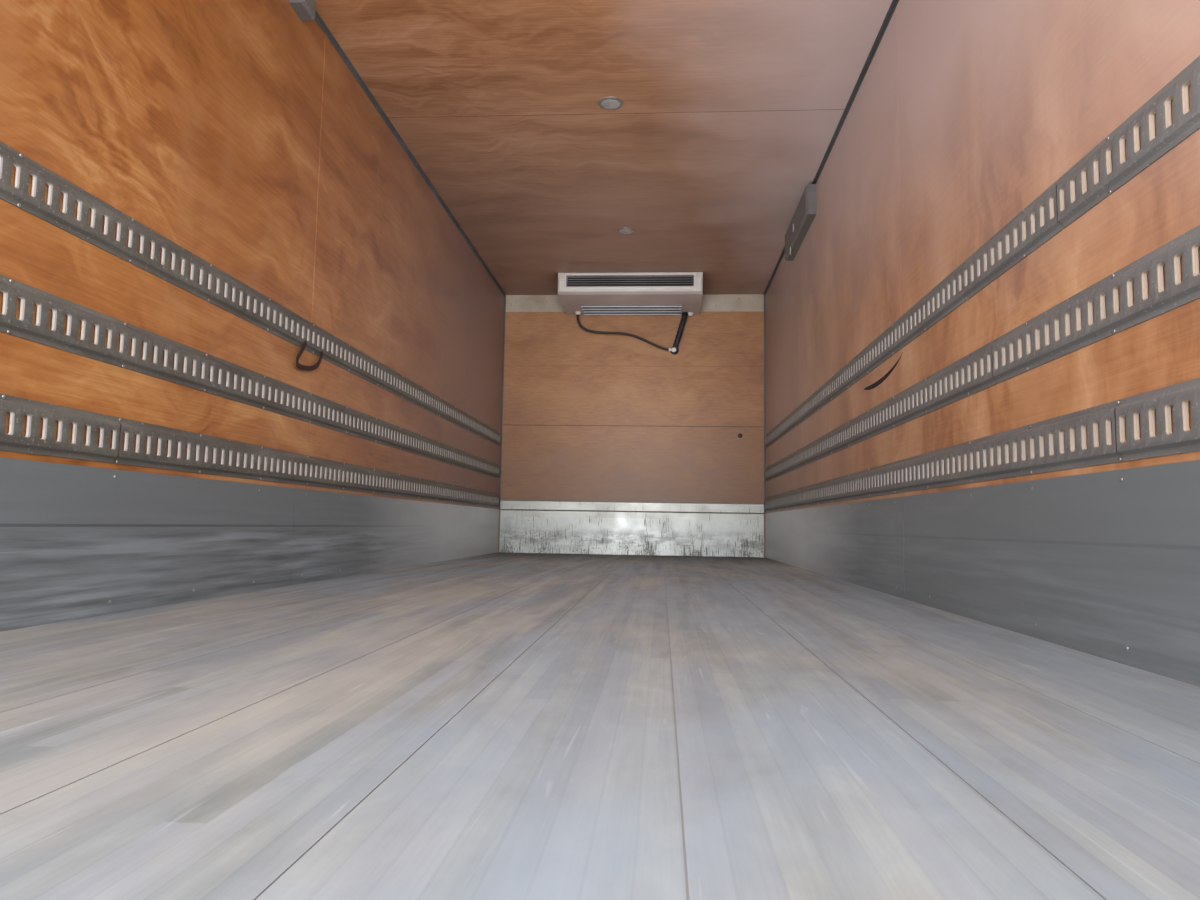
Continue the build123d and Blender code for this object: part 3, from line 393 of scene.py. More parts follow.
def frontPlateMetal():
    material, tree, shader, place = newMaterial("scratchedZincPlate", {"Metallic": 0.55})
    split = addNode(tree, "SeparateXYZ", {}, {0: place})
    height = addNode(tree, "Math SUBTRACT", {1: deckTop}, {0: split.outputs[2]})
    clouds = addNode(tree, "TexNoise", {"Scale": 5.0, "Detail": 6.0, "Roughness": 0.6}, {"Vector": place})
    ramp = addNode(tree, "ValToRGB", {"stops": plateLook["stops"]}, {"Fac": clouds})
    speckles = addNode(tree, "TexNoise", {"Scale": 60.0, "Detail": 5.0, "Roughness": 0.75},
                       {"Vector": place})
    scratches = streaks(tree, place, (160.0, 1.0, 9.0), 2.0)
    either = addNode(tree, "Math MAXIMUM", {}, {0: speckles, 1: scratches})
    # Brightest in the middle, a painted highlight, smeared with grey a hand's breadth over the deck, cream
    # along the upper lip
    across = addNode(tree, "Math ABSOLUTE", {}, {0: split.outputs[0]})
    smears = streaks(tree, place, (6.0, 1.0, 16.0), 5.0, 0.65)
    offBand = addNode(tree, "Math SUBTRACT", {1: plateLook["smearLevel"]}, {0: height})
    offMiddle = addNode(tree, "Math ABSOLUTE", {}, {0: offBand})
    middleHighlight, smeared, band, overBend, lowness = (
        addNode(tree, "MapRange", {1: start, 2: end, 3: least, 4: most}, {0: pattern})
        for pattern, start, end, least, most in (
            (across, 0.10, 0.42, 0.42, 0.0), (smears, 0.44, 0.60, 0.0, 0.8),
            (offMiddle, 0.03, 0.11, 1.0, 0.0),
            (height, 0.318, 0.322, 0.0, 0.55), (height, 0.02, 0.34, 0.125, 0.0)))
    dusk = addNode(tree, "Math MULTIPLY", {}, {0: smeared, 1: band})
    summed = addNode(tree, "Math ADD", {}, {0: either, 1: lowness})
    clumped = addNode(tree, "Math MULTIPLY_ADD", {1: 0.5, 2: -0.25}, {0: clouds})
    total = addNode(tree, "Math ADD", {}, {0: summed, 1: clumped})
    dirt = addNode(tree, "MapRange", {1: 0.66, 2: 0.74, 3: 0.0, 4: 0.85}, {0: total})
    colour = coats(tree, ramp, [(middleHighlight, plateLook["highlightColour"]), (dusk, plateLook["smearColour"]),
                                (overBend, plateLook["lipColour"]), (dirt, plateLook["dirt"])])
    finishSurface(tree, shader, colour, (clouds, 0.3, 0.7, 0.3, 0.5), (speckles, 0.3, 0.0006))
    return material


# Colours in level bands; each band but the first has the height that it starts at
def bandedByHeight(name, bands, blend):
    material, tree, shader, place = newMaterial(name, {})
    split = addNode(tree, "SeparateXYZ", {}, {0: place})
    mottle = addNode(tree, "TexNoise", {"Scale": 4.0, "Detail": 4.0}, {"Vector": place})
    colour = None
    for stops, start in bands:
        tone = addNode(tree, "ValToRGB", {"stops": stops}, {"Fac": mottle})
        if colour:
            over = addNode(tree, "MapRange", {1: start - blend, 2: start + blend}, {0: split.outputs[2]})
            colour = addNode(tree, "Mix", {}, {0: over, 6: colour, 7: tone})
        else:
            colour = tone
    finishSurface(tree, shader, colour, (mottle, 0.3, 0.7, 0.36, 0.52))
    return material


# Moulded lens: small prisms behind a glossy skin
def amberLens():
    material, tree, shader, place = newMaterial("mouldedAmberLens", {
        "IOR": 1.49, "Coat Weight": 0.6, "Coat Roughness": 0.06})
    prisms = addNode(tree, "TexVoronoi", {"Scale": 210.0, "feature": "F1", "distance": "CHEBYCHEV"},
                     {"Vector": place})
    ramp = addNode(tree, "ValToRGB", {"stops": [(0.1, "#F0932A"), (0.5, "#DB7414"), (0.9, "#B4540A")]},
                   {"Fac": prisms})
    finishSurface(tree, shader, ramp, (prisms, 0.0, 1.0, 0.16, 0.3), (prisms, 0.3, 0.0006))
    return material


# Ramp stops from their colour codes
def tones(codes, positions=(0.3, 0.6, 0.8)):
    return list(zip(positions, codes.split()))


# Side linings: warm orange-brown, figure running with the sheet, dustier and darker towards the front wall,
# the darkening partly painted shade; a deeper orange painted over the upper rear stands for the doorway's
# light
plyPositions = (0.15, 0.36, 0.5, 0.64, 0.86)
sidePly = {"roughness": 0.55, "varnish": 0.12, "warpScale": 1.9, "warp": 0.5,
           "figureScale": (1.6, 1.5, 3.6), "rings": 8.0, "knots": 5.0, "patchScale": 0.8, "calm": 0.0,
           "lively": 0.045, "burr": (-halfInner, frontFace - 5.55, deckTop + 1.38), "burrDepth": 0.15,
           "fibreScale": (60.0, 4.0, 170.0), "fibres": 0.5, "blotchScale": (1.5, 1.1, 5.8), "blotches": 1.35,
           "stops": tones("#764318 #9B5E28 #B27237 #C08345 #D7A062", (0.15, 0.34, 0.5, 0.64, 0.86)),
           "sheenScale": (14.0, 7.0, 1.3), "sheen": 0.16, "sheenColour": "#D0A679",
           "fadeAxis": (0, 1, 0), "fadeFrom": frontFace - 5.4, "fadeTo": frontFace - 1.4, "fade": 0.88,
           "fadeColour": "#866E65", "paintedLightAxis": (0, -0.6, 0.8), "paintedLightFrom": 1.4, "paintedLightTo": 3.2,
           "paintedLight": 0.7, "paintedLightColour": "#824E22", "doorwayShade": 0.3, "seams": ()}
# Right-hand lining: a painted pale glare towards its upper rear end
rightPly = dict(sidePly, figureScale=(1.6, 2.2, 1.6), sheen=0.22, sheenScale=(14.0, 9.0, 1.6),
                blotchScale=(1.5, 3.0, 1.7), burr=(halfInner, frontFace - 5.2, deckTop + 0.88),
                burrDepth=0.08, blotches=1.3, lively=0.05, fibres=0.28,
                stops=tones("#7E4F2C #9C663D #B47D50 #C28D60 #D6A679", (0.15, 0.34, 0.5, 0.64, 0.86)),
                fade=0.8, fadeColour="#9A857A", paintedLightAxis=(0, -0.35, 1.3), paintedLightFrom=2.0, paintedLightTo=3.2,
                paintedLight=0.9, paintedLightColour="#C2ADA4", doorwayShade=0.85)
# Front lining: figure stands upright, as the sheets do; painted shade darkens it towards the bottom
frontPly = dict(sidePly, figureScale=(1.4, 0.8, 3.4), fibreScale=(9.0, 60.0, 120.0), rings=6.0, lively=0.02,
                burr=(0.4, frontFace, deckTop + 1.5), burrDepth=0.03, blotchScale=(2.2, 1.0, 5.0),
                blotches=0.75, sheenScale=(3.0, 10.0, 9.0), sheen=0.12, paintedLight=0.0, fadeAxis=(0, 0, -1),
                fadeFrom=-(deckTop + 1.5), fadeTo=-(deckTop + 0.45), fade=0.6, fadeColour="#715D4D",
                stops=tones("#835433 #9B6943 #AA784D #B5865A #C5986D", plyPositions),
                seams=[(2, deckTop + 1.140, 0.0035, 0.75), (2, deckTop + 1.680, 0.0025, 0.3)])
# Roof lining: duller, with broad bands across the load space; dust and painted shade darken it towards the
# front, a painted pale glare lightens it towards the right and the doorway
roofPly = dict(sidePly, figureScale=(1.2, 3.6, 0.8), fibreScale=(6.0, 130.0, 60.0), rings=9.0, lively=0.07,
               burr=(-0.5, frontFace - 3.0, ceilingLevel), burrDepth=0.08, blotchScale=(1.0, 4.6, 1.0),
               blotches=1.3, sheenScale=(1.6, 8.0, 3.0), sheen=0.2, fade=0.6, varnish=0.08,
               fadeFrom=frontFace - 4.3, fadeTo=frontFace - 2.2, fadeColour="#7E6B63",
               stops=tones("#8B5B36 #A27048 #B17E55 #BD8B64 #CB9D7A", plyPositions),
               paintedLightAxis=(1.0, -0.22, 0), paintedLightFrom=0.1, paintedLightTo=1.0, paintedLight=0.85, paintedLightColour="#D8C4BC",
               seams=[(1, frontFace - 3.40, 0.003, 0.5)])

# Each note says what the eye takes from the surface
materials = {
    # Warm, lively wood that takes up most of the picture
    "leftPlywood": varnishedPly("varnishedPlywoodLeft", sidePly),
    "rightPlywood": varnishedPly("varnishedPlywoodRight", rightPly),
    "frontPlywood": varnishedPly("varnishedPlywoodFront", frontPly),
    "roofPlywood": varnishedPly("varnishedPlywoodRoof", roofPly),
    # Grey boards worn pale and a little blue by the doorway's light
    "deck": deckBoards(),
    # Dark plates with rubbed streaks along their foot
    "kick": scuffedKick(),
    # The brightest metal inside, speckled towards the deck
    "frontPlate": frontPlateMetal(),
    # Dark grey rail paint, dusty, chalked along its folds, pale where the slots' rolled lips are bare, with
    # a painted highlight on them
    "railPaint": railPaint(),
    # Orange points along the body's edges
    "amberLens": amberLens(),
}

# Painted, moulded and coated finishes, one row each in the order of these words
coatedWords = ("finish", "mottleScale", "stops", "speckScale", "speckFrom", "specks", "speckColour",
               "roughness", "bump", "bumpDepth", "coat")
coatedLooks = {
    # Dark angles in the corners
    "darkTrim": ("darkTrimPaint", 4.0, tones("#494A4A #5C5D5C #6C6D6A"), 60.0, 0.62, 0.6, "#8D8B85",
                 (0.45, 0.65), 0.15, 0.0005),
    # Cream board over the front wall, grubby with fingermarks
    "creamBoard": ("creamPaintedBoard", 5.0, tones("#A89880 #BDAE97 #CBBDA8", (0.3, 0.55, 0.8)), 40.0, 0.6,
                   0.5, "#7B6C58", (0.45, 0.65), 0.1, 0.0005),
    # Off-white moulded cover, yellowed a little
    "coverPlastic": ("offWhiteMouldedCover", 3.0, tones("#DAD3C7 #E4DED3 #EAE6DC"), 90.0, 0.66, 0.35,
                     "#8F8474", (0.3, 0.45), 0.08, 0.0004),
    # Glass-fibre laminate skins: clean white outside with faint waves
    "laminate": ("whiteGlassFibreLaminate", 1.6, tones("#D3D5D5 #D9DBDB #DFE1E1"), 30.0, 0.64, 0.10,
                 "#A5A6A2", (0.24, 0.34), 0.03, 0.0005, (0.3, 0.12)),
    # Grey underseal under and around the floor slab
    "slabBase": ("greyUnderseal", 2.0, tones("#6D6E6C #7C7D7B #8B8C89"), 50.0, 0.62, 0.5, "#565450",
                 (0.6, 0.8), 0.3, 0.001),
    # Soft black of gaskets and buffers, greyed by dust
    "blackRubber": ("mattBlackRubber", 12.0, tones("#1B1B1B #262626 #333231"), 150.0, 0.62, 0.4, "#4B4844",
                    (0.6, 0.8), 0.2, 0.0005),
    # Brownish black hose with a dull shine
    "hoseRubber": ("blackDrainHose", 30.0, tones("#221A18 #2E2523 #3B312E"), 200.0, 0.6, 0.5, "#574A43",
                   (0.35, 0.5), 0.15, 0.0004),
    # Lagging bound with tape, its edges catching the light
    "lagging": ("tapedFoamLagging", 18.0, tones("#1D1D1F #2A2A2C #38383A"), 120.0, 0.6, 0.5, "#55524F",
                (0.45, 0.65), 0.3, 0.0008),
    # Small dusty boxes high on the walls
    "darkBox": ("darkPlasticBox", 10.0, tones("#625F5B #706C67 #7D7974"), 100.0, 0.6, 0.5, "#8F8A82",
                (0.45, 0.6), 0.1, 0.0004),
    # Unlit lamp covers, milky and grey
    "frostedLamp": ("frostedLampCover", 14.0, tones("#8E8983 #9E9993 #ADA9A3"), 90.0, 0.62, 0.4, "#6F6A64",
                    (0.2, 0.35), 0.1, 0.0004, (0.4, 0.1)),
    # Grilles, fans, sleeves and lamp bases
    "blackPlastic": ("blackMouldedPlastic", 9.0, tones("#1E1E1F #28282A #343436"), 140.0, 0.63, 0.4,
                     "#504E4B", (0.35, 0.5), 0.12, 0.0004),
    # Cooling unit's cover, cleaner and glossier than the skins
    "unitCover": ("whiteUnitCover", 1.8, tones("#D3D5D6 #DEE0E0 #E6E8E8"), 40.0, 0.64, 0.3, "#A3A39F",
                  (0.25, 0.4), 0.05, 0.0005, (0.3, 0.1)),
    # Webbing woven in brown and dark threads
    "webbing": ("wovenBrownWebbing", 90.0, tones("#241713 #38251E #4A342A"), 420.0, 0.55, 0.6, "#6B5040",
                (0.7, 0.9), 0.6, 0.0006),
    # Painted shade: a dark sheet inside the evaporator's outlet
    "recessShade": ("darkRecess", 20.0, tones("#1D1C1B #2A2826 #383532"), 90.0, 0.62, 0.4, "#4B4743",
                   (0.6, 0.8), 0.1, 0.0004)}

# Bare metals, in the same way
metalWords = ("finish", "metallic", "lineScale", "lines", "spangleScale", "spangle", "cloudScale",
              "roughness", "stops")
metalPositions = (0.2, 0.5, 0.8)
metalLooks = {
    # Dull zinc with a faint spangle on the subframe
    "galvanised": ("hotDipGalvanisedSteel", 0.85, (30.0, 30.0, 30.0), 0.15, 55.0, 0.35, 4.0, (0.38, 0.6),
                   tones("#7D8285 #9CA1A3 #B8BCBC", metalPositions)),
    # Bright door gear, brushed upright
    "stainless": ("brushedStainlessSteel", 1.0, (160.0, 160.0, 2.5), 0.45, 3.0, 0.0, 2.0, (0.24, 0.4),
                  tones("#9B9C9B #BCBDBB #D2D2CF", metalPositions)),
    # Satin silver edges, drawn lengthwise
    "anodised": ("satinAnodisedProfile", 0.9, (120.0, 2.0, 120.0), 0.25, 3.0, 0.0, 3.0, (0.28, 0.42),
                 tones("#A9ACAE #C2C5C6 #D3D6D6", metalPositions)),
    # Close fins behind the grilles
    "finStock": ("finnedCoil", 0.8, (500.0, 4.0, 2.0), 0.6, 3.0, 0.0, 6.0, (0.4, 0.55),
                 tones("#5F6466 #858A8C #A3A7A8", metalPositions)),
    # Screw and rivet heads that glint
    "zincScrew": ("zincPlatedScrew", 0.9, (90.0, 90.0, 90.0), 0.3, 200.0, 0.2, 60.0, (0.25, 0.4),
                  tones("#A3A4A2 #C3C4C0 #DADAD5", metalPositions))}

for make, words, looks in ((coated, coatedWords, coatedLooks), (brushedMetal, metalWords, metalLooks)):
    for key, row in looks.items():
        materials[key] = make(dict(zip(words, row)))

# Painted shade makes the belly mauve-grey under an off-white front; the outlet blades are dark, the intake's
# white along their foot
evapLevel = ceilingLevel - 0.182
materials["evapCase"] = bandedByHeight("evaporatorCase", [
    (tones("#A89B93 #B5A89F #C1B4AA"), None), (tones("#DCD4C7 #E5DED2 #EBE6DC"), evapLevel + 0.020)], 0.004)
materials["evapBlades"] = bandedByHeight("evaporatorBlades", [
    (tones("#D6D6D4 #E0E1E0 #E8E9E9"), None), (tones("#5F5B59 #6E6A67 #7B7774"), evapLevel - 0.0055),
    (tones("#7C7975 #8C8985 #9A9792"), evapLevel + 0.045)], 0.001)

cadMaterials = {
    "slabBase": "floor_slab", "laminate": "wall_left wall_right wall_front roof door_left door_right",
    "galvanised": "sill_left sill_right cross_members mounting_feet",
    "deck": "floor_deck", "leftPlywood": "lining_left", "rightPlywood": "lining_right",
    "frontPlywood": "lining_front", "roofPlywood": "lining_roof", "creamBoard": "front_top_strip",
    "kick": "kick_left kick_right", "frontPlate": "kick_front", "darkTrim": "ceiling_angles corner_angles",
    "stainless": "rear_portal hinge_brackets door_hardware_left door_hardware_right",
    "anodised": "edge_profiles", "blackRubber": "buffers door_seal_left door_seal_right",
    "evapCase": "evaporator_housing", "evapBlades": "evaporator_louvres", "lagging": "pipe_bundle",
    "hoseRubber": "drain_hose", "frostedLamp": "ceiling_lamps", "darkBox": "wall_boxes",
    "webbing": "wall_strap", "unitCover": "unit_housing",
    "blackPlastic": "unit_grilles fan_left fan_right marker_lamps", "finStock": "unit_coil",
    "railPaint": "rail_left_low rail_left_mid rail_left_top rail_right_low rail_right_mid rail_right_top"}
for materialName, nodeNames in cadMaterials.items():
    for nodeName in nodeNames.split():
        nodes[nodeName].data.materials.clear()
        nodes[nodeName].data.materials.append(materials[materialName])
print("materials made and given to the frame's pieces")

# Selecting, shaping and finishing. Two places nearer than this are taken as one
nearly = 1e-4
mirror = Matrix.Scale(-1, 4, (1, 0, 0))


def selectOnly(piece):
    bpy.ops.object.select_all(action="DESELECT")
    piece.select_set(True)
    bpy.context.view_layer.objects.active = piece


def startEdit(piece):
    selectOnly(piece)
    bpy.ops.object.mode_set(mode="EDIT")


def endEdit():
    bpy.ops.object.mode_set(mode="OBJECT")


def selectAllParts():
    bpy.ops.mesh.select_all(action="SELECT")


def middle(edge):
    return (edge.verts[0].co + edge.verts[1].co) / 2


# How far an edge reaches along an axis
def spans(edge, axis):
    return abs(edge.verts[0].co[axis] - edge.verts[1].co[axis])


# In edit mode, selects the faces, edges or vertices that pass the test
def pick(piece, kind, test):
    bpy.ops.mesh.select_mode(type=kind)
    bpy.ops.mesh.select_all(action="DESELECT")
    mesh = bmesh.from_edit_mesh(piece.data)
    for part in {"FACE": mesh.faces, "EDGE": mesh.edges, "VERT": mesh.verts}[kind]:
        if test(part):
            part.select_set(True)
    mesh.select_flush_mode()
    bmesh.update_edit_mesh(piece.data)


def bevelWhere(piece, test, offset, segments):
    pick(piece, "EDGE", test)
    bpy.ops.mesh.bevel(offset=offset, segments=segments, affect="EDGES")


# Rounds the edges that run along Y, as of a panel that stands across the body
def roundCorners(piece, radius, segments):
    startEdit(piece)
    bevelWhere(piece, lambda edge: spans(edge, 1) > nearly, radius, segments)
    endEdit()


def applyModifier(piece, kind, **settings):
    selectOnly(piece)
    modifier = piece.modifiers.new(kind.title(), kind)
    for name, value in settings.items():
        setattr(modifier, name, value)
    bpy.ops.object.modifier_apply(modifier=modifier.name)


# Eases all edges sharper than the angle
def easeEdges(piece, width, segments=2, angle=30):
    applyModifier(piece, "BEVEL", width=width, segments=segments, limit_method="ANGLE",
                  angle_limit=math.radians(angle))


def moved(x, y, z):
    return Matrix.Translation((x, y, z))


# Turns +Z to the given way
def turnTo(facing):
    return Vector(facing).to_track_quat("Z", "Y").to_matrix().to_4x4()


def joinPieces(pieces, name):
    bpy.ops.object.select_all(action="DESELECT")
    for piece in pieces:
        piece.select_set(True)
    bpy.context.view_layer.objects.active = pieces[0]
    bpy.ops.object.join()
    pieces[0].name = name
    return pieces[0]


# A copy with its own mesh, moved by the matrix, its faces kept outward
def copyOf(model, name, matrix):
    copy = model.copy()
    copy.name = name
    copy.data = model.data.copy()
    copy.data.transform(matrix)
    if matrix.determinant() < 0:
        copy.data.flip_normals()
    bpy.context.scene.collection.objects.link(copy)
    return copy


# One modelled piece repeated at the given matrices, joined into one
def spreadCopies(model, matrices, name):
    copies = [copyOf(model, name, matrix) for matrix in matrices]
    bpy.data.objects.remove(model)
    return joinPieces(copies, name)


def setMaterial(piece, *keys):
    piece.data.materials.clear()
    for key in keys:
        piece.data.materials.append(materials[key])


# Gives a piece its material, smoothing and body, and hides the frame pieces that it stands for
def finishPiece(piece, look, replaced=(), angle=35, body="box_body"):
    if look:
        setMaterial(piece, look)
    selectOnly(piece)
    bpy.ops.object.shade_smooth_by_angle(angle=math.radians(angle))
    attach(piece, body)
    if replaced:
        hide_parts(*replaced)


# A flat start at its place, to be shaped in edit mode
def flatStart(name, scale=(1, 1, 1), size=1, **settings):
    bpy.ops.object.select_all(action="DESELECT")
    bpy.ops.mesh.primitive_plane_add(size=size, **settings)
    piece = bpy.context.object
    piece.name = name
    piece.scale = scale
    bpy.ops.object.transform_apply(location=True, rotation=True, scale=True)
    return piece


# A box between two corners, with eased edges
def easedBox(name, low, high, ease=0.002, segments=2):
    low, high = Vector(low), Vector(high)
    bpy.ops.object.select_all(action="DESELECT")
    bpy.ops.mesh.primitive_cube_add(size=1, location=(low + high) / 2)
    piece = bpy.context.object
    piece.name = name
    piece.scale = [abs(value) for value in high - low]
    bpy.ops.object.transform_apply(location=True, rotation=True, scale=True)
    if ease:
        easeEdges(piece, ease, segments)
    return piece


# The same round a middle point
def boxRound(name, centre, size, ease=0.002, segments=2):
    low, high = ([at + way * side / 2 for at, side in zip(centre, size)] for way in (-1, 1))
    return easedBox(name, low, high, ease, segments)


# A cylinder with an eased rim, standing on a point along the given way
def easedDisc(name, radius, height, base, facing=(0, 0, 1), ease=0.001, vertices=32):
    bpy.ops.object.select_all(action="DESELECT")
    bpy.ops.mesh.primitive_cylinder_add(radius=radius, depth=height, vertices=vertices,
                                        location=(0, 0, height / 2))
    piece = bpy.context.object
    piece.name = name
    bpy.ops.object.transform_apply(location=True, rotation=True, scale=True)
    if ease:
        easeEdges(piece, ease)
    piece.data.transform(moved(*base) @ turnTo(facing))
    return piece


# Takes the cutter's shape out of a piece
def cutOut(piece, cutter, folded=False):
    applyModifier(piece, "BOOLEAN", operation="DIFFERENCE", object=cutter, solver="EXACT", use_self=folded)
    bpy.data.objects.remove(cutter)


# A body turned from (radius, height) pairs round the Z axis, closed where a pair's radius is 0
def turned(name, outline, steps=40):
    piece = flatStart(name)
    startEdit(piece)
    bpy.ops.mesh.merge(type="CENTER")
    bpy.ops.transform.translate(value=(outline[0][0], 0, outline[0][1]))
    for (radius, height), (nextRadius, nextHeight) in zip(outline, outline[1:]):
        bpy.ops.mesh.extrude_vertices_move(
            TRANSFORM_OT_translate={"value": (nextRadius - radius, 0, nextHeight - height)})
    selectAllParts()
    bpy.ops.mesh.spin(steps=steps, angle=2 * math.pi, center=(0, 0, 0), axis=(0, 0, 1))
    closeUp()
    endEdit()
    return piece


# Merges doubled points and turns the faces outward
def closeUp():
    selectAllParts()
    bpy.ops.mesh.remove_doubles(threshold=1e-5)
    bpy.ops.mesh.normals_make_consistent(inside=False)


# A tube of set radius along a NURBS line through the route's points
def routeCurve(name, points, radius, resolution=16):
    curve = bpy.data.curves.new(name, "CURVE")
    curve.dimensions = "3D"
    spline = curve.splines.new("NURBS")
    spline.points.add(len(points) - 1)
    for point, place in zip(spline.points, points):
        point.co = (*place, 1)
    spline.order_u = 3
    spline.use_endpoint_u = True
    curve.resolution_u = resolution
    curve.bevel_depth = radius
    curve.bevel_resolution = 6
    curve.use_fill_caps = True
    piece = bpy.data.objects.new(name, curve)
    bpy.context.scene.collection.objects.link(piece)
    return piece


# Points read along a route's own NURBS line
def routeLine(name, points, resolution=24):
    curve = routeCurve(name, points, 0, resolution)
    mesh = bpy.data.meshes.new_from_object(curve)
    line = [vertex.co.copy() for vertex in mesh.vertices]
    bpy.data.meshes.remove(mesh)
    bpy.data.objects.remove(curve)
    return line


def curveToMesh(piece):
    selectOnly(piece)
    bpy.ops.object.convert(target="MESH")


# A point given as metres across, from the front lining and over the deck
def inside(across, fromFront, overDeck):
    return Vector((across, frontFace - fromFront, deckTop + overDeck))


# Free cords: each route is a list of given points, in metres
hoseSet = {"diameter": 0.022, "length": 0.930,
           "route": [(-0.491, 0.100, 2.122), (-0.491, 0.100, 2.056), (-0.432, 0.088, 1.990),
                     (-0.300, 0.076, 1.965), (-0.075, 0.062, 1.966), (0.050, 0.052, 1.932),
                     (0.282, 0.038, 1.822), (0.322, 0.038, 1.822)]}
strapSet = {"width": 0.020, "thickness": 0.003, "length": 0.410, "offWall": 0.0127 + 0.0018, "edge": 0.92,
            "route": [(4.262, 0.966), (4.300, 0.920), (4.334, 0.888), (4.336, 0.864), (4.308, 0.858),
                      (4.240, 0.864), (4.170, 0.878), (4.118, 0.908), (4.092, 0.962)]}


def drainHose():
    route = [inside(*point) for point in hoseSet["route"]]
    hose = routeCurve("drainHose", route, hoseSet["diameter"] / 2, 24)
    setMaterial(hose, "hoseRubber")
    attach(hose, "box_body")
    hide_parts("drain_hose")


# Webbing: a flat band along its route, thin across the wall
def webbingStrap():
    across = -(halfInner - strapSet["offWall"])
    route = [inside(across, *point) for point in strapSet["route"]]
    profile = bpy.data.curves.new("strapProfile", "CURVE")
    outline = profile.splines.new("POLY")
    wide, thick = strapSet["width"] / 2, strapSet["thickness"] / 2
    eased = wide * strapSet["edge"]
    corners = [(-wide, -0.4), (-eased, -1), (eased, -1), (wide, -0.4),
               (wide, 0.4), (eased, 1), (-eased, 1), (-wide, 0.4)]
    outline.points.add(len(corners) - 1)
    for point, (along, out) in zip(outline.points, corners):
        point.co = (out * thick, along, 0, 1)
    outline.use_cyclic_u = True
    section = bpy.data.objects.new("strapProfile", profile)
    bpy.context.scene.collection.objects.link(section)
    strap = routeCurve("webbingStrap", route, 0, 12)
    strap.data.bevel_mode = "OBJECT"
    strap.data.bevel_object = section
    curveToMesh(strap)
    bpy.data.objects.remove(section)
    finishPiece(strap, "webbing", ["wall_strap"])
    [tuple(place) for place in routeLine("strapLine", route)]


drainHose()
webbingStrap()
print("cords laid")

# Lashing rails: a hat section with one upright slot to each cell, its edge rolled back towards the wall.
# Slots are counted from the front lining; at each joint the count jumps to the next length of rail
railSet = {"cell": 0.0508, "crown": 0.087, "slope": 0.006, "flange": 0.012, "depth": 0.0127, "sheet": 0.0025,
           "slotWide": 0.0265, "slotHigh": 0.0570, "corner": 0.0060, "roll": 0.0034, "lip": 0.0062,
           "bend": 0.0013, "phase": {"low": 0.083, "mid": 0.078, "top": 0.071}, "slots": 149,
           "jointGap": 0.003}
railJoints = {"left_low": [44, 104], "left_mid": [56, 116], "left_top": [32, 92],
              "right_low": [52, 112], "right_mid": [40, 100], "right_top": [48, 108]}


# Folds both long edges of a flat crown down to the wall and out into flanges
def foldEdges(piece, lastReturn):
    half = railSet["crown"] / 2
    for way in (1, -1):
        pick(piece, "EDGE", lambda edge: edge.is_boundary and way * middle(edge).z > half - nearly
             and spans(edge, 2) < nearly)
        steps = [(railSet["sheet"] - railSet["depth"], way * railSet["slope"]), (0, way * railSet["flange"])]
        if lastReturn:
            steps.append((-railSet["sheet"], 0))
        for out, up in steps:
            bpy.ops.mesh.extrude_edges_move(TRANSFORM_OT_translate={"value": (out, 0, up)})
    for level in (half, half + railSet["slope"]):
        bevelWhere(piece, lambda edge: abs(abs(middle(edge).z) - level) < nearly
                   and spans(edge, 1) > 10 * nearly,
                   railSet["bend"], 1)


def faceInward(piece):
    startEdit(piece)
    selectAllParts()
    bpy.ops.mesh.normals_make_consistent(inside=False)
    endEdit()
    if max(piece.data.polygons, key=lambda face: face.area).normal.x < 0:
        piece.data.flip_normals()


def crownPlane(name, length):
    return flatStart(name, (railSet["crown"], length, 1), rotation=(0, math.pi / 2, 0))


def railCell():
    cell = crownPlane("railCell", railSet["cell"])
    wide, high, roll = railSet["slotWide"], railSet["slotHigh"], railSet["roll"]
    startEdit(cell)
    bpy.ops.mesh.select_all(action="DESELECT")
    bpy.ops.mesh.primitive_plane_add(size=1, rotation=(0, math.pi / 2, 0))
    bpy.ops.transform.resize(value=(1, wide, high), center_override=(0, 0, 0))
    bpy.ops.mesh.bevel(offset=railSet["corner"], segments=2, affect="VERTICES")
    selectAllParts()
    bpy.ops.mesh.delete(type="ONLY_FACE")
    selectAllParts()
    bpy.ops.mesh.fill(use_beauty=True)
    pick(cell, "EDGE", lambda edge: edge.is_boundary and abs(middle(edge).z) < high / 2 + nearly
         and abs(middle(edge).y) < wide / 2 + nearly)
    rolled = [math.radians(angle) for angle in (0, 30, 60, 90)]
    steps = [(roll * (math.cos(a) - math.cos(b)), roll * (math.sin(b) - math.sin(a)))
             for a, b in zip(rolled, rolled[1:])]
    for depth, inset in steps + [(railSet["lip"], 0)]:
        bpy.ops.mesh.extrude_edges_move(TRANSFORM_OT_translate={"value": (-depth, 0, 0)})
        wider, higher = wide - 2 * inset, high - 2 * inset
        bpy.ops.transform.resize(value=(1, wider / wide, higher / high), center_override=(0, 0, 0))
        wide, high = wider, higher
    foldEdges(cell, True)
    endEdit()
    faceInward(cell)
    setMaterial(cell, "railPaint")
    marks = cell.data.attributes.new("slotLip", "FLOAT", "FACE")
    for face in cell.data.polygons:
        x, y, z = face.center
        inSlot = abs(y) < railSet["slotWide"] / 2 and abs(z) < railSet["slotHigh"] / 2
        marks.data[face.index].value = float(inSlot and x < -roll * 0.1)
    return cell


def slotPlace(height, number):
    return frontFace - railSet["phase"][height] - number * railSet["cell"]


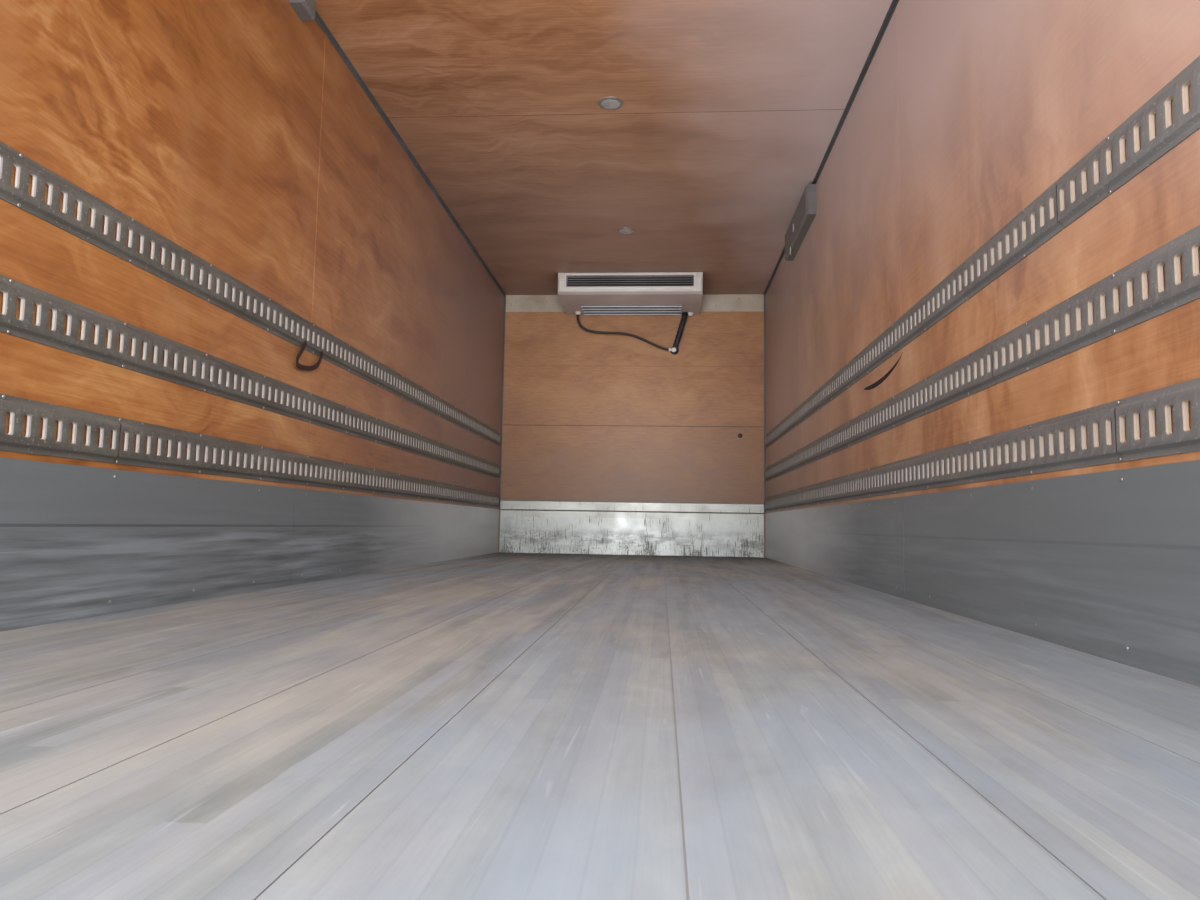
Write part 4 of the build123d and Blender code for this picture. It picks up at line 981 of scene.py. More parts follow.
# One length of rail from its first to its last slot, drawn back a little at each joint
def railRun(cell, height, first, last):
    run = copyOf(cell, "railRun", moved(0, slotPlace(height, first), 0))
    applyModifier(run, "ARRAY", count=last - first + 1, use_relative_offset=False, use_constant_offset=True,
                  constant_offset_displace=(0, -railSet["cell"], 0), use_merge_vertices=True,
                  merge_threshold=nearly)
    ends = [vertex.co.y for vertex in run.data.vertices]
    startEdit(run)
    for end, way in ((max(ends), -1), (min(ends), 1)):
        pick(run, "VERT", lambda vertex: abs(vertex.co.y - end) < nearly)
        bpy.ops.transform.translate(value=(0, way * railSet["jointGap"] / 2, 0))
    endEdit()
    return run


# A plain stretch at a rail's end, where the sheet's thickness shows
def railEnd(near, far):
    piece = crownPlane("railEnd", near - far)
    startEdit(piece)
    foldEdges(piece, False)
    endEdit()
    faceInward(piece)
    applyModifier(piece, "SOLIDIFY", thickness=railSet["sheet"], offset=-1)
    piece.data.transform(moved(0, (near + far) / 2, 0))
    setMaterial(piece, "railPaint")
    return piece


def lashingRails():
    cell = railCell()
    count, halfCell = railSet["slots"], railSet["cell"] / 2
    for name, joints in railJoints.items():
        side, level = name.split("_")
        low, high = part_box("rail_" + name)
        runs = [railRun(cell, level, first + 1, last) for first, last in zip([0] + joints, joints + [count])]
        runs.append(railEnd(high.y, slotPlace(level, 1) + halfCell))
        runs.append(railEnd(slotPlace(level, count) - halfCell, low.y))
        rail = joinPieces(runs, "lashingRail_" + name)
        rail.data.transform(moved(-halfInner + railSet["depth"], 0, (low.z + high.z) / 2))
        if side == "right":
            rail.data.transform(mirror)
            rail.data.flip_normals()
        finishPiece(rail, None, ["rail_" + name])
    bpy.data.objects.remove(cell)


lashingRails()
print("rails pressed and slotted")

# Screws: low domed heads, all made from one. Bolts: a six-sided head on its washer
screwSet = {"radius": 0.0048, "height": 0.0022, "pitch": 0.4064, "start": 0.0974, "count": 19,
            "onFlange": 0.0565, "kickRows": (0.360, 0.033), "looseRail": 0.004, "looseKick": 0.01}
boltSet = {"washer": (0.0105, 0.0016), "head": (0.0078, 0.0052), "headBase": 0.0015}


def screwHead():
    bpy.ops.object.select_all(action="DESELECT")
    bpy.ops.mesh.primitive_uv_sphere_add(segments=10, ring_count=6, radius=screwSet["radius"])
    head = bpy.context.object
    startEdit(head)
    pick(head, "VERT", lambda vertex: vertex.co.z < -1e-5)
    bpy.ops.mesh.delete(type="VERT")
    endEdit()
    head.data.transform(Matrix.Scale(screwSet["height"] / screwSet["radius"], 4, (0, 0, 1)))
    return head


def boltHead():
    washer = easedDisc("washer", *boltSet["washer"], (0, 0, 0), ease=0.0004, vertices=16)
    head = easedDisc("head", *boltSet["head"], (0, 0, boltSet["headBase"]), ease=0.0008, vertices=6)
    return joinPieces([washer, head], "bolt")


# Copies of a head standing on places, each with the way that it faces
def headsAt(head, name, places, size=1.0):
    setMaterial(head, "zincScrew")
    return spreadCopies(head, [moved(*place) @ turnTo(facing) @ Matrix.Scale(size, 4)
                               for place, facing in places],
                        name)


def screws(name, places, size=1.0):
    finishPiece(headsAt(screwHead(), name, places, size), None, angle=60)


def bolts(name, places, size=1.0):
    finishPiece(headsAt(boltHead(), name, places, size), None)


def wallScrews():
    plate = abs(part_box("kick_left")[1].x)
    flange = halfInner - railSet["sheet"]
    for side, way in (("left", -1), ("right", 1)):
        places = []
        for i in range(screwSet["count"]):
            y = frontFace - screwSet["start"] - i * screwSet["pitch"]
            for height in ("low", "mid", "top"):
                low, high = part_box(f"rail_{side}_{height}")
                for up in (1, -1):
                    z = (low.z + high.z) / 2 + up * screwSet["onFlange"]
                    loose = rng.uniform(-screwSet["looseRail"], screwSet["looseRail"])
                    places.append(((way * flange, y + loose, z), (-way, 0, 0)))
            for z in screwSet["kickRows"]:
                loose = rng.uniform(-screwSet["looseKick"], screwSet["looseKick"])
                places.append(((way * plate, y + loose, deckTop + z), (-way, 0, 0)))
        screws(f"wallScrews_{side}", places)


wallScrews()
print("wall screws set")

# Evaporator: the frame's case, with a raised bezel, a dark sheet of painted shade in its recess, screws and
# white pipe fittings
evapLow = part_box("evaporator_housing")[0]
evapMiddle = (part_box("evaporator_louvres")[0].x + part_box("evaporator_louvres")[1].x) / 2
evapSet = {"outletWidth": 1.050, "outletHeight": 0.096, "outletDrop": 0.026, "bezel": 0.020, "proud": 0.004,
           "outerRound": 0.014, "innerRound": 0.007, "ease": 0.0012, "screwAcross": 0.537, "screwIn": 0.014,
           "recess": (0.045, 0.0694), "fit": 0.0006, "fittings": ((-0.491, 0.100), (0.512, 0.060)),
           "fitting": [(0, 0.001), (0.026, 0.001), (0.027, -0.006), (0.022, -0.010), (0.021, -0.022),
                       (0.018, -0.025), (0, -0.025)]}


def evaporatorTrim():
    nose, top = evapLow.y, ceilingLevel - evapSet["outletDrop"]
    half, low, rim = evapSet["outletWidth"] / 2, top - evapSet["outletHeight"], evapSet["bezel"]
    # Raised frame round the outlet, with rounded corners
    bezel = easedBox("evaporatorBezel", (evapMiddle - half - rim, nose - evapSet["proud"], low - rim),
                     (evapMiddle + half + rim, nose + 0.001, top + rim * 0.8), 0)
    roundCorners(bezel, evapSet["outerRound"], 4)
    opening = easedBox("opening", (evapMiddle - half, nose - 0.02, low),
                       (evapMiddle + half, nose + 0.02, top), 0)
    roundCorners(opening, evapSet["innerRound"], 3)
    cutOut(bezel, opening)
    easeEdges(bezel, evapSet["ease"], angle=50)
    finishPiece(bezel, "coverPlastic")
    screws("evaporatorScrews", [((evapMiddle + x, nose - evapSet["proud"], z), (0, -1, 0))
                                for x in (-evapSet["screwAcross"], evapSet["screwAcross"])
                                for z in (low + evapSet["screwIn"], top - evapSet["screwIn"])],
           size=0.8)
    # Painted shade: a dark sheet lining the outlet recess, a hand's breadth inside the front
    front, back = evapSet["recess"]
    fit = evapSet["fit"]
    recess = easedBox("evaporatorRecess", (evapMiddle - half + fit, nose + front, low + fit),
                      (evapMiddle + half - fit, nose + back, top - fit), 0)
    finishPiece(recess, "recessShade")
    pieces = []
    for across, fromFront in evapSet["fittings"]:
        pieces.append(turned("fitting", evapSet["fitting"], 24))
        pieces[-1].data.transform(moved(across, frontFace - fromFront, evapLevel))
    finishPiece(joinPieces(pieces, "evaporatorFittings"), "coverPlastic")


# Lagged pipes: foam lagging bound with tape, ending in a gland on the wall
lagSet = {"radius": 0.0262, "top": (0.461, 0.070, 2.148), "knee": (0.461, 0.070, 2.116),
          "end": (0.374, 0.049, 1.822), "wraps": 19, "ripple": 0.0016, "taper": 0.06,
          "gland": (0.374, 0.0, 1.822), "tip": (0.366, 0.076, 1.812), "spigot": (0.345, 0.038, 1.822),
          "spigotSize": (0.0145, 0.024), "glandOutline": [(0, 0), (0.0385, 0), (0.0385, 0.004),
                                                          (0.037, 0.006), (0.031, 0.007), (0.0305, 0.009),
                           (0.0305, 0.060), (0.0285, 0.071), (0.024, 0.0755), (0, 0.0765)],
          "tipOutline": [(0, 0), (0.021, 0), (0.0215, 0.003), (0.019, 0.007), (0.013, 0.0095), (0, 0.0105)]}


def laggedPipes():
    top, knee, end = (inside(*lagSet[key]) for key in ("top", "knee", "end"))
    line = routeLine("laggingRoute", [top, top.lerp(knee, 0.5), knee, knee.lerp(end, 0.5), end])
    tube = routeCurve("laggedPipes", line, lagSet["radius"], 1)
    tube.data.splines[0].type = "POLY"
    for i, point in enumerate(tube.data.splines[0].points):
        turn = i / (len(line) - 1) * lagSet["wraps"] * 2 * math.pi
        ripple = lagSet["ripple"] / lagSet["radius"] * math.sin(turn)
        point.radius = 1 + ripple - lagSet["taper"] * i / len(line)
    curveToMesh(tube)
    finishPiece(tube, "lagging", ["pipe_bundle"], 60)
    outward = turnTo((0, -1, 0))
    gland = turned("pipeGland", lagSet["glandOutline"])
    gland.data.transform(moved(*inside(*lagSet["gland"])) @ outward)
    finishPiece(gland, "lagging")
    # Pale tape round the end that the hose goes into
    tip = turned("tapedTip", lagSet["tipOutline"], 20)
    tip.data.transform(moved(*inside(*lagSet["tip"])) @ outward)
    spigot = easedDisc("hoseSpigot", *lagSet["spigotSize"], inside(*lagSet["spigot"]), (-1, 0, 0))
    finishPiece(joinPieces([tip, spigot], "tapedHoseEnd"), "coverPlastic")


# Flush ceiling lamps: a rim, a frosted dome and its two screws
lampSet = {"count": 4, "first": 1.680, "pitch": 1.830, "screwOut": 0.0555, "screwDown": 0.0066,
           "rim": [(0, 0), (0.062, 0), (0.062, -0.004), (0.060, -0.006), (0.051, -0.007), (0.049, -0.0065),
                   (0.0485, -0.0055), (0, -0.0055)],
           "lens": [(0, -0.0054), (0.0483, -0.0054), (0.0475, -0.0072), (0.042, -0.0098), (0.030, -0.0113),
                    (0.015, -0.0119), (0, -0.012)]}


def ceilingLamps():
    rim, lens = turned("lampRim", lampSet["rim"]), turned("lampLens", lampSet["lens"])
    setMaterial(rim, "anodised")
    setMaterial(lens, "frostedLamp")
    places = [moved(0, frontFace - lampSet["first"] - i * lampSet["pitch"], ceilingLevel)
              for i in range(lampSet["count"])]
    lamps = spreadCopies(joinPieces([rim, lens], "lamp"), places, "ceilingLamps")
    finishPiece(lamps, None, ["ceiling_lamps"])
    screws("lampScrews", [(place.translation + Vector((way * lampSet["screwOut"], 0, -lampSet["screwDown"])),
                           (0, 0, -1)) for place in places for way in (-1, 1)], size=0.6)


# Two pale tags on the face of the cable box
boxSet = {"depth": 0.060, "tab": (0.003, 0.018, 0.052), "ease": 0.0008,
          "tabs": ((1.900, 2.104), (2.030, 2.216))}


def cableBoxTabs():
    across = halfInner - boxSet["depth"] - boxSet["tab"][0] / 2
    tabs = [boxRound("tab", inside(across, *place), boxSet["tab"], boxSet["ease"])
            for place in boxSet["tabs"]]
    finishPiece(joinPieces(tabs, "cableBoxTabs"), "coverPlastic")


# Dark scuff on the right-hand lining, a curved stroke that thins to both ends
scuffSet = {"route": ((3.66, 0.885), (3.72, 0.877), (3.88, 0.867), (4.07, 0.876), (4.23, 0.902),
                      (4.29, 0.925)),
            "shares": (0.1, 0.7, 1.0, 0.8, 0.4, 0.1), "radius": 0.012, "flat": 0.03}


def wallScuff():
    route = [inside(halfInner, *point) for point in scuffSet["route"]]
    stroke = routeCurve("wallScuff", route, scuffSet["radius"], 8)
    for point, share in zip(stroke.data.splines[0].points, scuffSet["shares"]):
        point.radius = share
    curveToMesh(stroke)
    onWall = moved(halfInner, 0, 0)
    stroke.data.transform(onWall @ Matrix.Scale(scuffSet["flat"], 4, (1, 0, 0)) @ onWall.inverted())
    finishPiece(stroke, "blackRubber")


# Front wall: screws along its edges, a screw plug, and seams in the galvanised plate
frontSet = {"plug": (0.956, 1.060), "plugSize": (0.021, 0.004), "plateJoints": (-0.42, 0.21, 0.79),
            "seam": (0.024, 0.0008, 0.368), "seamOff": 0.0033, "seamLevel": 0.188,
            "screwRows": ((9, -1.05, 0.2625, 0.0045, 2.215), (9, -1.05, 0.2625, 0.0045, 2.300),
                          (10, -1.10, 0.2444, 0.0032, 0.450))}


def frontWallTrim():
    screws("frontWallScrews", [(inside(start + i * pitch, off, height), (0, -1, 0))
                               for count, start, pitch, off, height in frontSet["screwRows"]
                               for i in range(count)],
           size=0.85)
    across, height = frontSet["plug"]
    plug = easedDisc("wallPlug", *frontSet["plugSize"], inside(across, 0, height), (0, -1, 0), 0.0015)
    finishPiece(plug, "lagging")
    seams = [boxRound("seam", inside(across, frontSet["seamOff"], frontSet["seamLevel"]), frontSet["seam"],
                      0.0002, 1)
             for across in frontSet["plateJoints"]]
    finishPiece(joinPieces(seams, "frontPlateSeams"), "frontPlate")


evaporatorTrim()
laggedPipes()
ceilingLamps()
cableBoxTabs()
wallScuff()
frontWallTrim()
print("evaporator, pipes, lamps and front wall dressed")

# Outside of the body: rivets along its aluminium profiles, all at one pitch
rivetSet = {"pitch": 0.200, "size": 1.15, "lowLevel": 0.300, "drop": 0.035, "fromCorner": 0.040,
            "skin": 0.005, "profile": 0.080}


def evenly(start, end, pitch):
    count = max(1, round((end - start) / pitch))
    return [start + (end - start) * i / count for i in range(count + 1)]


def profileRivets():
    pitch, skin, low = rivetSet["pitch"], rivetSet["skin"], rivetSet["lowLevel"]
    high, corner = roofTop - rivetSet["drop"], rivetSet["fromCorner"]
    sideX, frontY = halfOuter + skin, noseFace + skin
    places = []
    for way in (-1, 1):
        out = (way, 0, 0)
        for y in evenly(liningRear + corner, noseFace - rivetSet["profile"] - corner, pitch):
            places.append(((way * sideX, y, low), out))
        for y in evenly(rearFace + corner, noseFace - corner, pitch):
            places.append(((way * sideX, y, high), out))
        for z in evenly(low - corner, high - 2 * corner, pitch):
            places.append(((way * sideX, noseFace - corner, z), out))
            places.append(((way * (halfOuter - corner), frontY, z), (0, 1, 0)))
    for x in evenly(-halfOuter + 3 * corner, halfOuter - 3 * corner, pitch):
        places += [((x, frontY, z), (0, 1, 0)) for z in (low, high)]
    screws("profileRivets", places, size=rivetSet["size"])


# A tube of flat bands round an upright rectangle; the profile is (outwards, along Y) points and closes on
# itself
def ringAround(name, low, high, profile):
    centre = (Vector(low) + Vector(high)) / 2
    halfWide, halfHigh = (high[0] - low[0]) / 2, (high[2] - low[2]) / 2
    firstOut, firstAlong = profile[0]
    ring = flatStart(name, (2 * (halfWide + firstOut), 2 * (halfHigh + firstOut), 1),
                     rotation=(math.pi / 2, 0, 0), location=(centre.x, firstAlong, centre.z))
    startEdit(ring)
    selectAllParts()
    bpy.ops.mesh.delete(type="ONLY_FACE")
    selectAllParts()
    for (out, along), (nextOut, nextAlong) in zip(profile, profile[1:] + profile[:1]):
        bpy.ops.mesh.extrude_edges_move(TRANSFORM_OT_translate={"value": (0, nextAlong - along, 0)})
        bpy.ops.transform.resize(value=((halfWide + nextOut) / (halfWide + out), 1,
                                        (halfHigh + nextOut) / (halfHigh + out)),
                                 center_override=(centre.x, nextAlong, centre.z))
    closeUp()
    endEdit()
    return ring


# Doors. Each piece is drawn as on the closed right-hand door, with the pin at the origin, the door running
# towards -X and its inside facing +Y; then it is folded back along the side, and mirrored for the left
leafLow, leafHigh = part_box("door_right")
pinPlace = Vector((halfOuter + 0.035, rearFace - 0.035, 0))
leafStart, leafEnd = leafLow.y - pinPlace.y, leafHigh.y - pinPlace.y
leafSet = {"outer": 0.035, "inner": 0.1178, "rim": 0.042, "step": 0.0015, "innerRound": 0.007,
           "plate": (0.055, 0.060, 0.420), "plateRivetIn": (0.020, 0.018), "rivetPitch": 0.150,
           "plateRivetPitch": 0.2, "seal": [(-0.0003, 0.0390), (0.0030, 0.0392), (0.0050, 0.0412),
                                            (0.0047, 0.0430), (0.0018, 0.0448),
                    (0.0018, 0.0478), (0.0046, 0.0502), (0.0050, 0.0522), (0.0042, 0.0540), (0.0016, 0.0556),
                    (0.0016, 0.0580), (0.0032, 0.0600), (0.0030, 0.0626), (0.0012, 0.0638),
                    (-0.0003, 0.0640)]}
hardwareSet = {"rods": (0.3805, 1.0205), "rodRadius": 0.0135, "rodOut": 0.0095, "overrun": 0.065,
               "guides": 3, "guideEnd": 0.260, "guide": (0.062, 0.060), "bridgeIn": 0.010, "hinges": 4,
               "hingeEnd": 0.190, "blade": (0.449, 0.060), "bladeSheet": 0.008, "crank": (0.1115, 0.1465),
               "bladeSeat": 0.027, "bladeStep": -0.019, "bladeRound": 0.018,
               "bladeBolts": (0.190, 0.290, 0.410), "guideBolt": (0.0245, 0.018), "handleLevel": 0.900,
               "handle": (0.285, 0.034), "handleSheet": 0.008, "grip": 0.125, "sleeve": 0.003,
               "cam": (0.030, 0.032, 0.036), "clamp": (0.042, 0.060), "catch": (0.040, 0.080),
               "lug": (0.028, 0.007, 0.0225)}
rodOut, rodRadius = hardwareSet["rodOut"], hardwareSet["rodRadius"]
handleLevel = deckTop + hardwareSet["handleLevel"]
handleFace = rodOut - rodRadius - hardwareSet["handleSheet"]


def fitDoors(piece, look, name, replaced=None, angle=35):
    folding = moved(*pinPlace) @ Matrix.Rotation(-math.pi / 2, 4, "Z")
    if look:
        setMaterial(piece, look)
    for side, placing in (("left", mirror @ folding), ("right", folding)):
        finishPiece(copyOf(piece, f"{name}_{side}", placing), None,
                    [f"{replaced}_{side}"] if replaced else (), angle, f"{side}_door")
    bpy.data.objects.remove(piece)


# Leaf: laminate fields stepped down inside an aluminium rim, front and back
def doorLeaf():
    inner, step = leafSet["inner"], leafSet["step"]
    leaf = easedBox("leaf", (-leafEnd, leafSet["outer"], leafLow.z), (-leafStart, inner, leafHigh.z), 0)
    startEdit(leaf)
    bevelWhere(leaf, lambda edge: all(vertex.co.y > inner - nearly for vertex in edge.verts),
               leafSet["innerRound"], 3)
    for way in (-1, 1):
        pick(leaf, "FACE", lambda face: way * face.normal.y > 0.99)
        bpy.ops.mesh.inset(thickness=leafSet["rim"])
        bpy.ops.mesh.inset(thickness=step, depth=-step)
    endEdit()
    setMaterial(leaf, "laminate", "anodised")
    inField = leafSet["rim"] + 0.02
    for face in leaf.data.polygons:
        field = (abs(face.normal.y) > 0.99 and leafStart + inField < -face.center.x < leafEnd - inField
                 and leafLow.z + inField < face.center.z < leafHigh.z - inField)
        face.material_index = 0 if field else 1
    fitDoors(leaf, None, "doorLeaf", "door")


# Scuff plate along the foot of the leaf's inside, and the rivets of the rim and the plate
def doorInside():
    side, bottom, top = leafSet["plate"]
    inner, mid, low, high = leafSet["inner"], leafSet["rim"] * 0.55, leafLow.z, leafHigh.z
    field = inner - leafSet["step"]
    plate = easedBox("plate", (-leafEnd + side, field - 0.0005, low + bottom),
                     (-leafStart - side, field + 0.0010, low + top), 0.0005)
    fitDoors(plate, "stainless", "doorScuffPlate")
    places = []
    for x in evenly(-leafEnd + mid, -leafStart - mid, leafSet["rivetPitch"]):
        places += [(x, inner - 0.0003, z) for z in (low + mid, high - mid)]
    for z in evenly(low + mid, high - mid, leafSet["rivetPitch"])[1:-1]:
        places += [(x, inner - 0.0003, z) for x in (-leafEnd + mid, -leafStart - mid)]
    across, up = leafSet["plateRivetIn"]
    for x in evenly(-leafEnd + side + across, -leafStart - side - across, leafSet["plateRivetPitch"]):
        places += [(x, field + 0.0010, z) for z in (low + bottom + up, low + top - up)]
    rivets = headsAt(screwHead(), "rivets", [(place, (0, 1, 0)) for place in places])
    fitDoors(rivets, None, "doorRivets", angle=60)


# Gasket: two soft lips and a bead round the leaf's edge
def doorSeal():
    seal = ringAround("seal", (-leafEnd, 0, leafLow.z), (-leafStart, 0, leafHigh.z), leafSet["seal"])
    fitDoors(seal, "blackRubber", "doorSeal", "door_seal", 50)


# Levels spread evenly over the leaf's height, the outer ones a set way from its ends
def leafLevels(count, fromEnd):
    span = leafHigh.z - leafLow.z - 2 * fromEnd
    return [leafLow.z + fromEnd + span * i / (count - 1) for i in range(count)]


hingeLevels = leafLevels(hardwareSet["hinges"], hardwareSet["hingeEnd"])
guideLevels = leafLevels(hardwareSet["guides"], hardwareSet["guideEnd"])


# Hinge blade, cranked from the barrel to its seat on the leaf
def hingeBlade(level):
    reach, tall = hardwareSet["blade"]
    near, far = hardwareSet["crank"]
    seat, half = hardwareSet["bladeSeat"], tall / 2
    blade = easedBox("blade", (-reach, seat, level - half),
                     (-0.004, seat + hardwareSet["bladeSheet"], level + half), 0)
    startEdit(blade)
    for cut in (near, far):
        selectAllParts()
        bpy.ops.mesh.bisect(plane_co=(-cut, 0, 0), plane_no=(1, 0, 0))
    pick(blade, "VERT", lambda vertex: vertex.co.x > -near - nearly)
    bpy.ops.transform.translate(value=(0, hardwareSet["bladeStep"], 0))
    bevelWhere(blade, lambda edge: middle(edge).x < -reach + nearly and spans(edge, 1) > 10 * nearly,
               hardwareSet["bladeRound"], 4)
    endEdit()
    easeEdges(blade, 0.0012, angle=50)
    barrel = turned("barrel", [(0.0083, -half), (0.0150, -half), (0.0160, -half + 0.001),
                               (0.0160, half - 0.001),
                               (0.0150, half), (0.0083, half), (0.0083, -half)], 28)
    barrel.data.transform(moved(0, 0, level))
    return [blade, barrel]


# Rod with its guides, end cams, clamped handle and the handle's catch
def lockRod(distance, way):
    outer, x = leafSet["outer"], -distance
    bottom, top = leafLow.z - hardwareSet["overrun"], leafHigh.z + hardwareSet["overrun"]
    pieces = [easedDisc("rod", rodRadius, top - bottom, (x, rodOut, bottom), ease=0.002, vertices=28)]
    wide, tall = hardwareSet["guide"]
    bridgeTall = tall / 2 - hardwareSet["bridgeIn"]
    for level in guideLevels:
        pieces.append(boxRound("guide", (x, outer - 0.003, level), (wide, 0.006, tall), 0.0015))
        pieces.append(easedBox("bridge", (x - rodRadius - 0.006, rodOut - 0.002, level - bridgeTall),
                               (x + rodRadius + 0.006, outer - 0.005, level + bridgeTall), 0.003, 3))
    cam = hardwareSet["cam"]
    for level in (bottom + cam[2] / 2, top - cam[2] / 2):
        pieces.append(boxRound("cam", (x, rodOut + rodRadius - cam[1] / 2, level), cam, 0.005, 3))
    length, tall = hardwareSet["handle"]
    sheet = hardwareSet["handleSheet"]
    pieces.append(boxRound("handle", (x + way * length / 2, handleFace + sheet / 2, handleLevel),
                           (length, sheet, tall), 0.0015))
    clampWide, clampTall = (side / 2 for side in hardwareSet["clamp"])
    pieces.append(easedBox("clamp", (x - clampWide, handleFace - 0.001, handleLevel - clampTall),
                           (x + clampWide, rodOut + rodRadius, handleLevel + clampTall), 0.005, 3))
    catchAt = x + way * (length - hardwareSet["grip"] - 0.030)
    catchWide, catchTall = hardwareSet["catch"]
    pieces.append(boxRound("catchFoot", (catchAt, outer - 0.002, handleLevel),
                           (catchWide, 0.004, catchTall), 0.0015))
    lugWide, lugTall, lugUp = hardwareSet["lug"]
    for level in (handleLevel - lugUp, handleLevel + lugUp):
        pieces.append(easedBox("lug", (catchAt - lugWide / 2, handleFace - 0.001, level - lugTall / 2),
                               (catchAt + lugWide / 2, outer - 0.003, level + lugTall / 2), 0.002))
    return pieces


def doorHardware():
    pieces = []
    for level in hingeLevels:
        pieces += hingeBlade(level)
    rods = list(zip(hardwareSet["rods"], (-1, 1)))
    for rod, way in rods:
        pieces += lockRod(rod, way)
    fitDoors(joinPieces(pieces, "hardware"), "stainless", "doorHardware", "door_hardware")
    # Bolts through the blades and guides
    outward = (0, -1, 0)
    places = [((-reach, hardwareSet["bladeSeat"], level), outward) for level in hingeLevels
              for reach in hardwareSet["bladeBolts"]]
    fitDoors(headsAt(boltHead(), "bolts", places, 1.1), None, "hingeBladeBolts")
    across, up = hardwareSet["guideBolt"]
    places = [((-rod + x, leafSet["outer"] - 0.006, level + z), outward) for rod in hardwareSet["rods"]
              for level in guideLevels for x in (-across, across) for z in (-up, up)]
    fitDoors(headsAt(boltHead(), "bolts", places, 0.5), None, "guideBolts")
    # Black sleeves on the handles
    length, tall = hardwareSet["handle"]
    thick, grip = hardwareSet["sleeve"], hardwareSet["grip"]
    sleeves = [boxRound("sleeve", (-rod + way * (length + 0.004 - (grip + 0.004) / 2),
                                   handleFace + hardwareSet["handleSheet"] / 2, handleLevel),
                        (grip + 0.004, hardwareSet["handleSheet"] + 2 * thick, tall + 2 * thick), 0.006, 4)
               for rod, way in rods]
    fitDoors(joinPieces(sleeves, "sleeves"), "blackPlastic", "handleSleeves", angle=50)


# Portal: bolted hinge plates, tread ribs on the threshold and a drip rail over the header
portalSet = {"plateOut": 0.008, "boltIn": (0.062, 0.062, 0.022), "boltUp": (-0.020, 0.020, 0.0), "ribs": 7,
             "firstRib": 0.012, "ribPitch": 0.0125, "rib": (2.280, 0.005, 0.002),
             "drip": (1.215, 0.022, 2.728, 2.733), "foldDrop": 0.008, "foldSheet": 0.0025}


def portalTrim():
    plate = halfOuter + portalSet["plateOut"]
    places = [((way * plate, rearFace + along, level + up), (way, 0, 0))
              for level in hingeLevels for way in (-1, 1)
              for along, up in zip(portalSet["boltIn"], portalSet["boltUp"])]
    bolts("hingePlateBolts", places, 0.85)
    firstRib = rearFace + portalSet["firstRib"]
    ribs = [boxRound("rib", (0, firstRib + i * portalSet["ribPitch"], deckTop + 0.0005), portalSet["rib"],
                     0.0008, 1) for i in range(portalSet["ribs"])]
    finishPiece(joinPieces(ribs, "thresholdRibs"), "stainless")
    half, out, low, high = portalSet["drip"]
    front = rearFace - out
    drip = easedBox("drip", (-half, front, low), (half, rearFace, high), 0.001)
    fold = easedBox("fold", (-half, front, low - portalSet["foldDrop"]),
                    (half, front + portalSet["foldSheet"], low + 0.001), 0.001)
    finishPiece(joinPieces([drip, fold], "dripRail"), "stainless")


# Marker lamps: a black base with a domed amber lens, lying along X and facing +Z until they are placed
markerSet = {"size": (0.110, 0.044, 0.020), "base": 0.006, "margin": 0.004, "sideLevel": 0.255,
             "sidePlaces": (-2.0793, -0.1000, 1.8793), "endIn": 0.150, "rearLevel": 2.6895,
             "frontLevel": 2.630}


def markerLamps():
    length, height, depth = markerSet["size"]
    base, margin = markerSet["base"], markerSet["margin"]
    foot = boxRound("lampBase", (0, 0, base / 2), (length, height, base), 0.0025, 3)
    setMaterial(foot, "blackPlastic")
    lens = easedBox("lens", (-length / 2 + margin, -height / 2 + margin, base - 0.001),
                    (length / 2 - margin, height / 2 - margin, depth - 0.0005), 0)
    startEdit(lens)
    pick(lens, "FACE", lambda face: face.normal.z > 0.9)
    bpy.ops.transform.resize(value=(0.93, 0.80, 1), center_override=(0, 0, depth))
    bpy.ops.mesh.inset(thickness=0.008)
    bpy.ops.mesh.inset(thickness=0.0012, depth=-0.0010)
    endEdit()
    easeEdges(lens, 0.0025, 3)
    setMaterial(lens, "amberLens")
    upright = Vector((0, 0, 1))
    places = []
    for way in (-1, 1):
        places += [((way * (halfOuter + rivetSet["skin"]), y, markerSet["sideLevel"]), (way, 0, 0))
                   for y in markerSet["sidePlaces"]]
        x = way * (halfOuter - markerSet["endIn"])
        places.append(((x, rearFace, markerSet["rearLevel"]), (0, -1, 0)))
        places.append(((x, noseFace, markerSet["frontLevel"]), (0, 1, 0)))
    matrices = []
    for place, facing in places:
        turn = Matrix((upright.cross(Vector(facing)), upright, facing)).transposed().to_4x4()
        matrices.append(moved(*place) @ turn)
    lamps = spreadCopies(joinPieces([foot, lens], "lamp"), matrices, "markerLamps")
    finishPiece(lamps, None, ["marker_lamps"])


# Buffers: rubber blocks with sunk bolts at the dock, waisted stops that hold the doors off the sides
bufferSet = {"dock": (0.100, 0.060, 0.110), "dockIn": 0.027, "dockFoot": 0.200, "holeRadius": 0.0145,
             "holeDepth": 0.026, "holeApart": 0.027, "stopPlace": (-3.0415, 1.350),
             "stop": [(0, 0), (0.031, 0), (0.031, 0.004), (0.026, 0.006), (0.026, 0.022), (0.021, 0.027),
                      (0.021, 0.034), (0.026, 0.039), (0.026, 0.058), (0.022, 0.062), (0, 0.062)]}


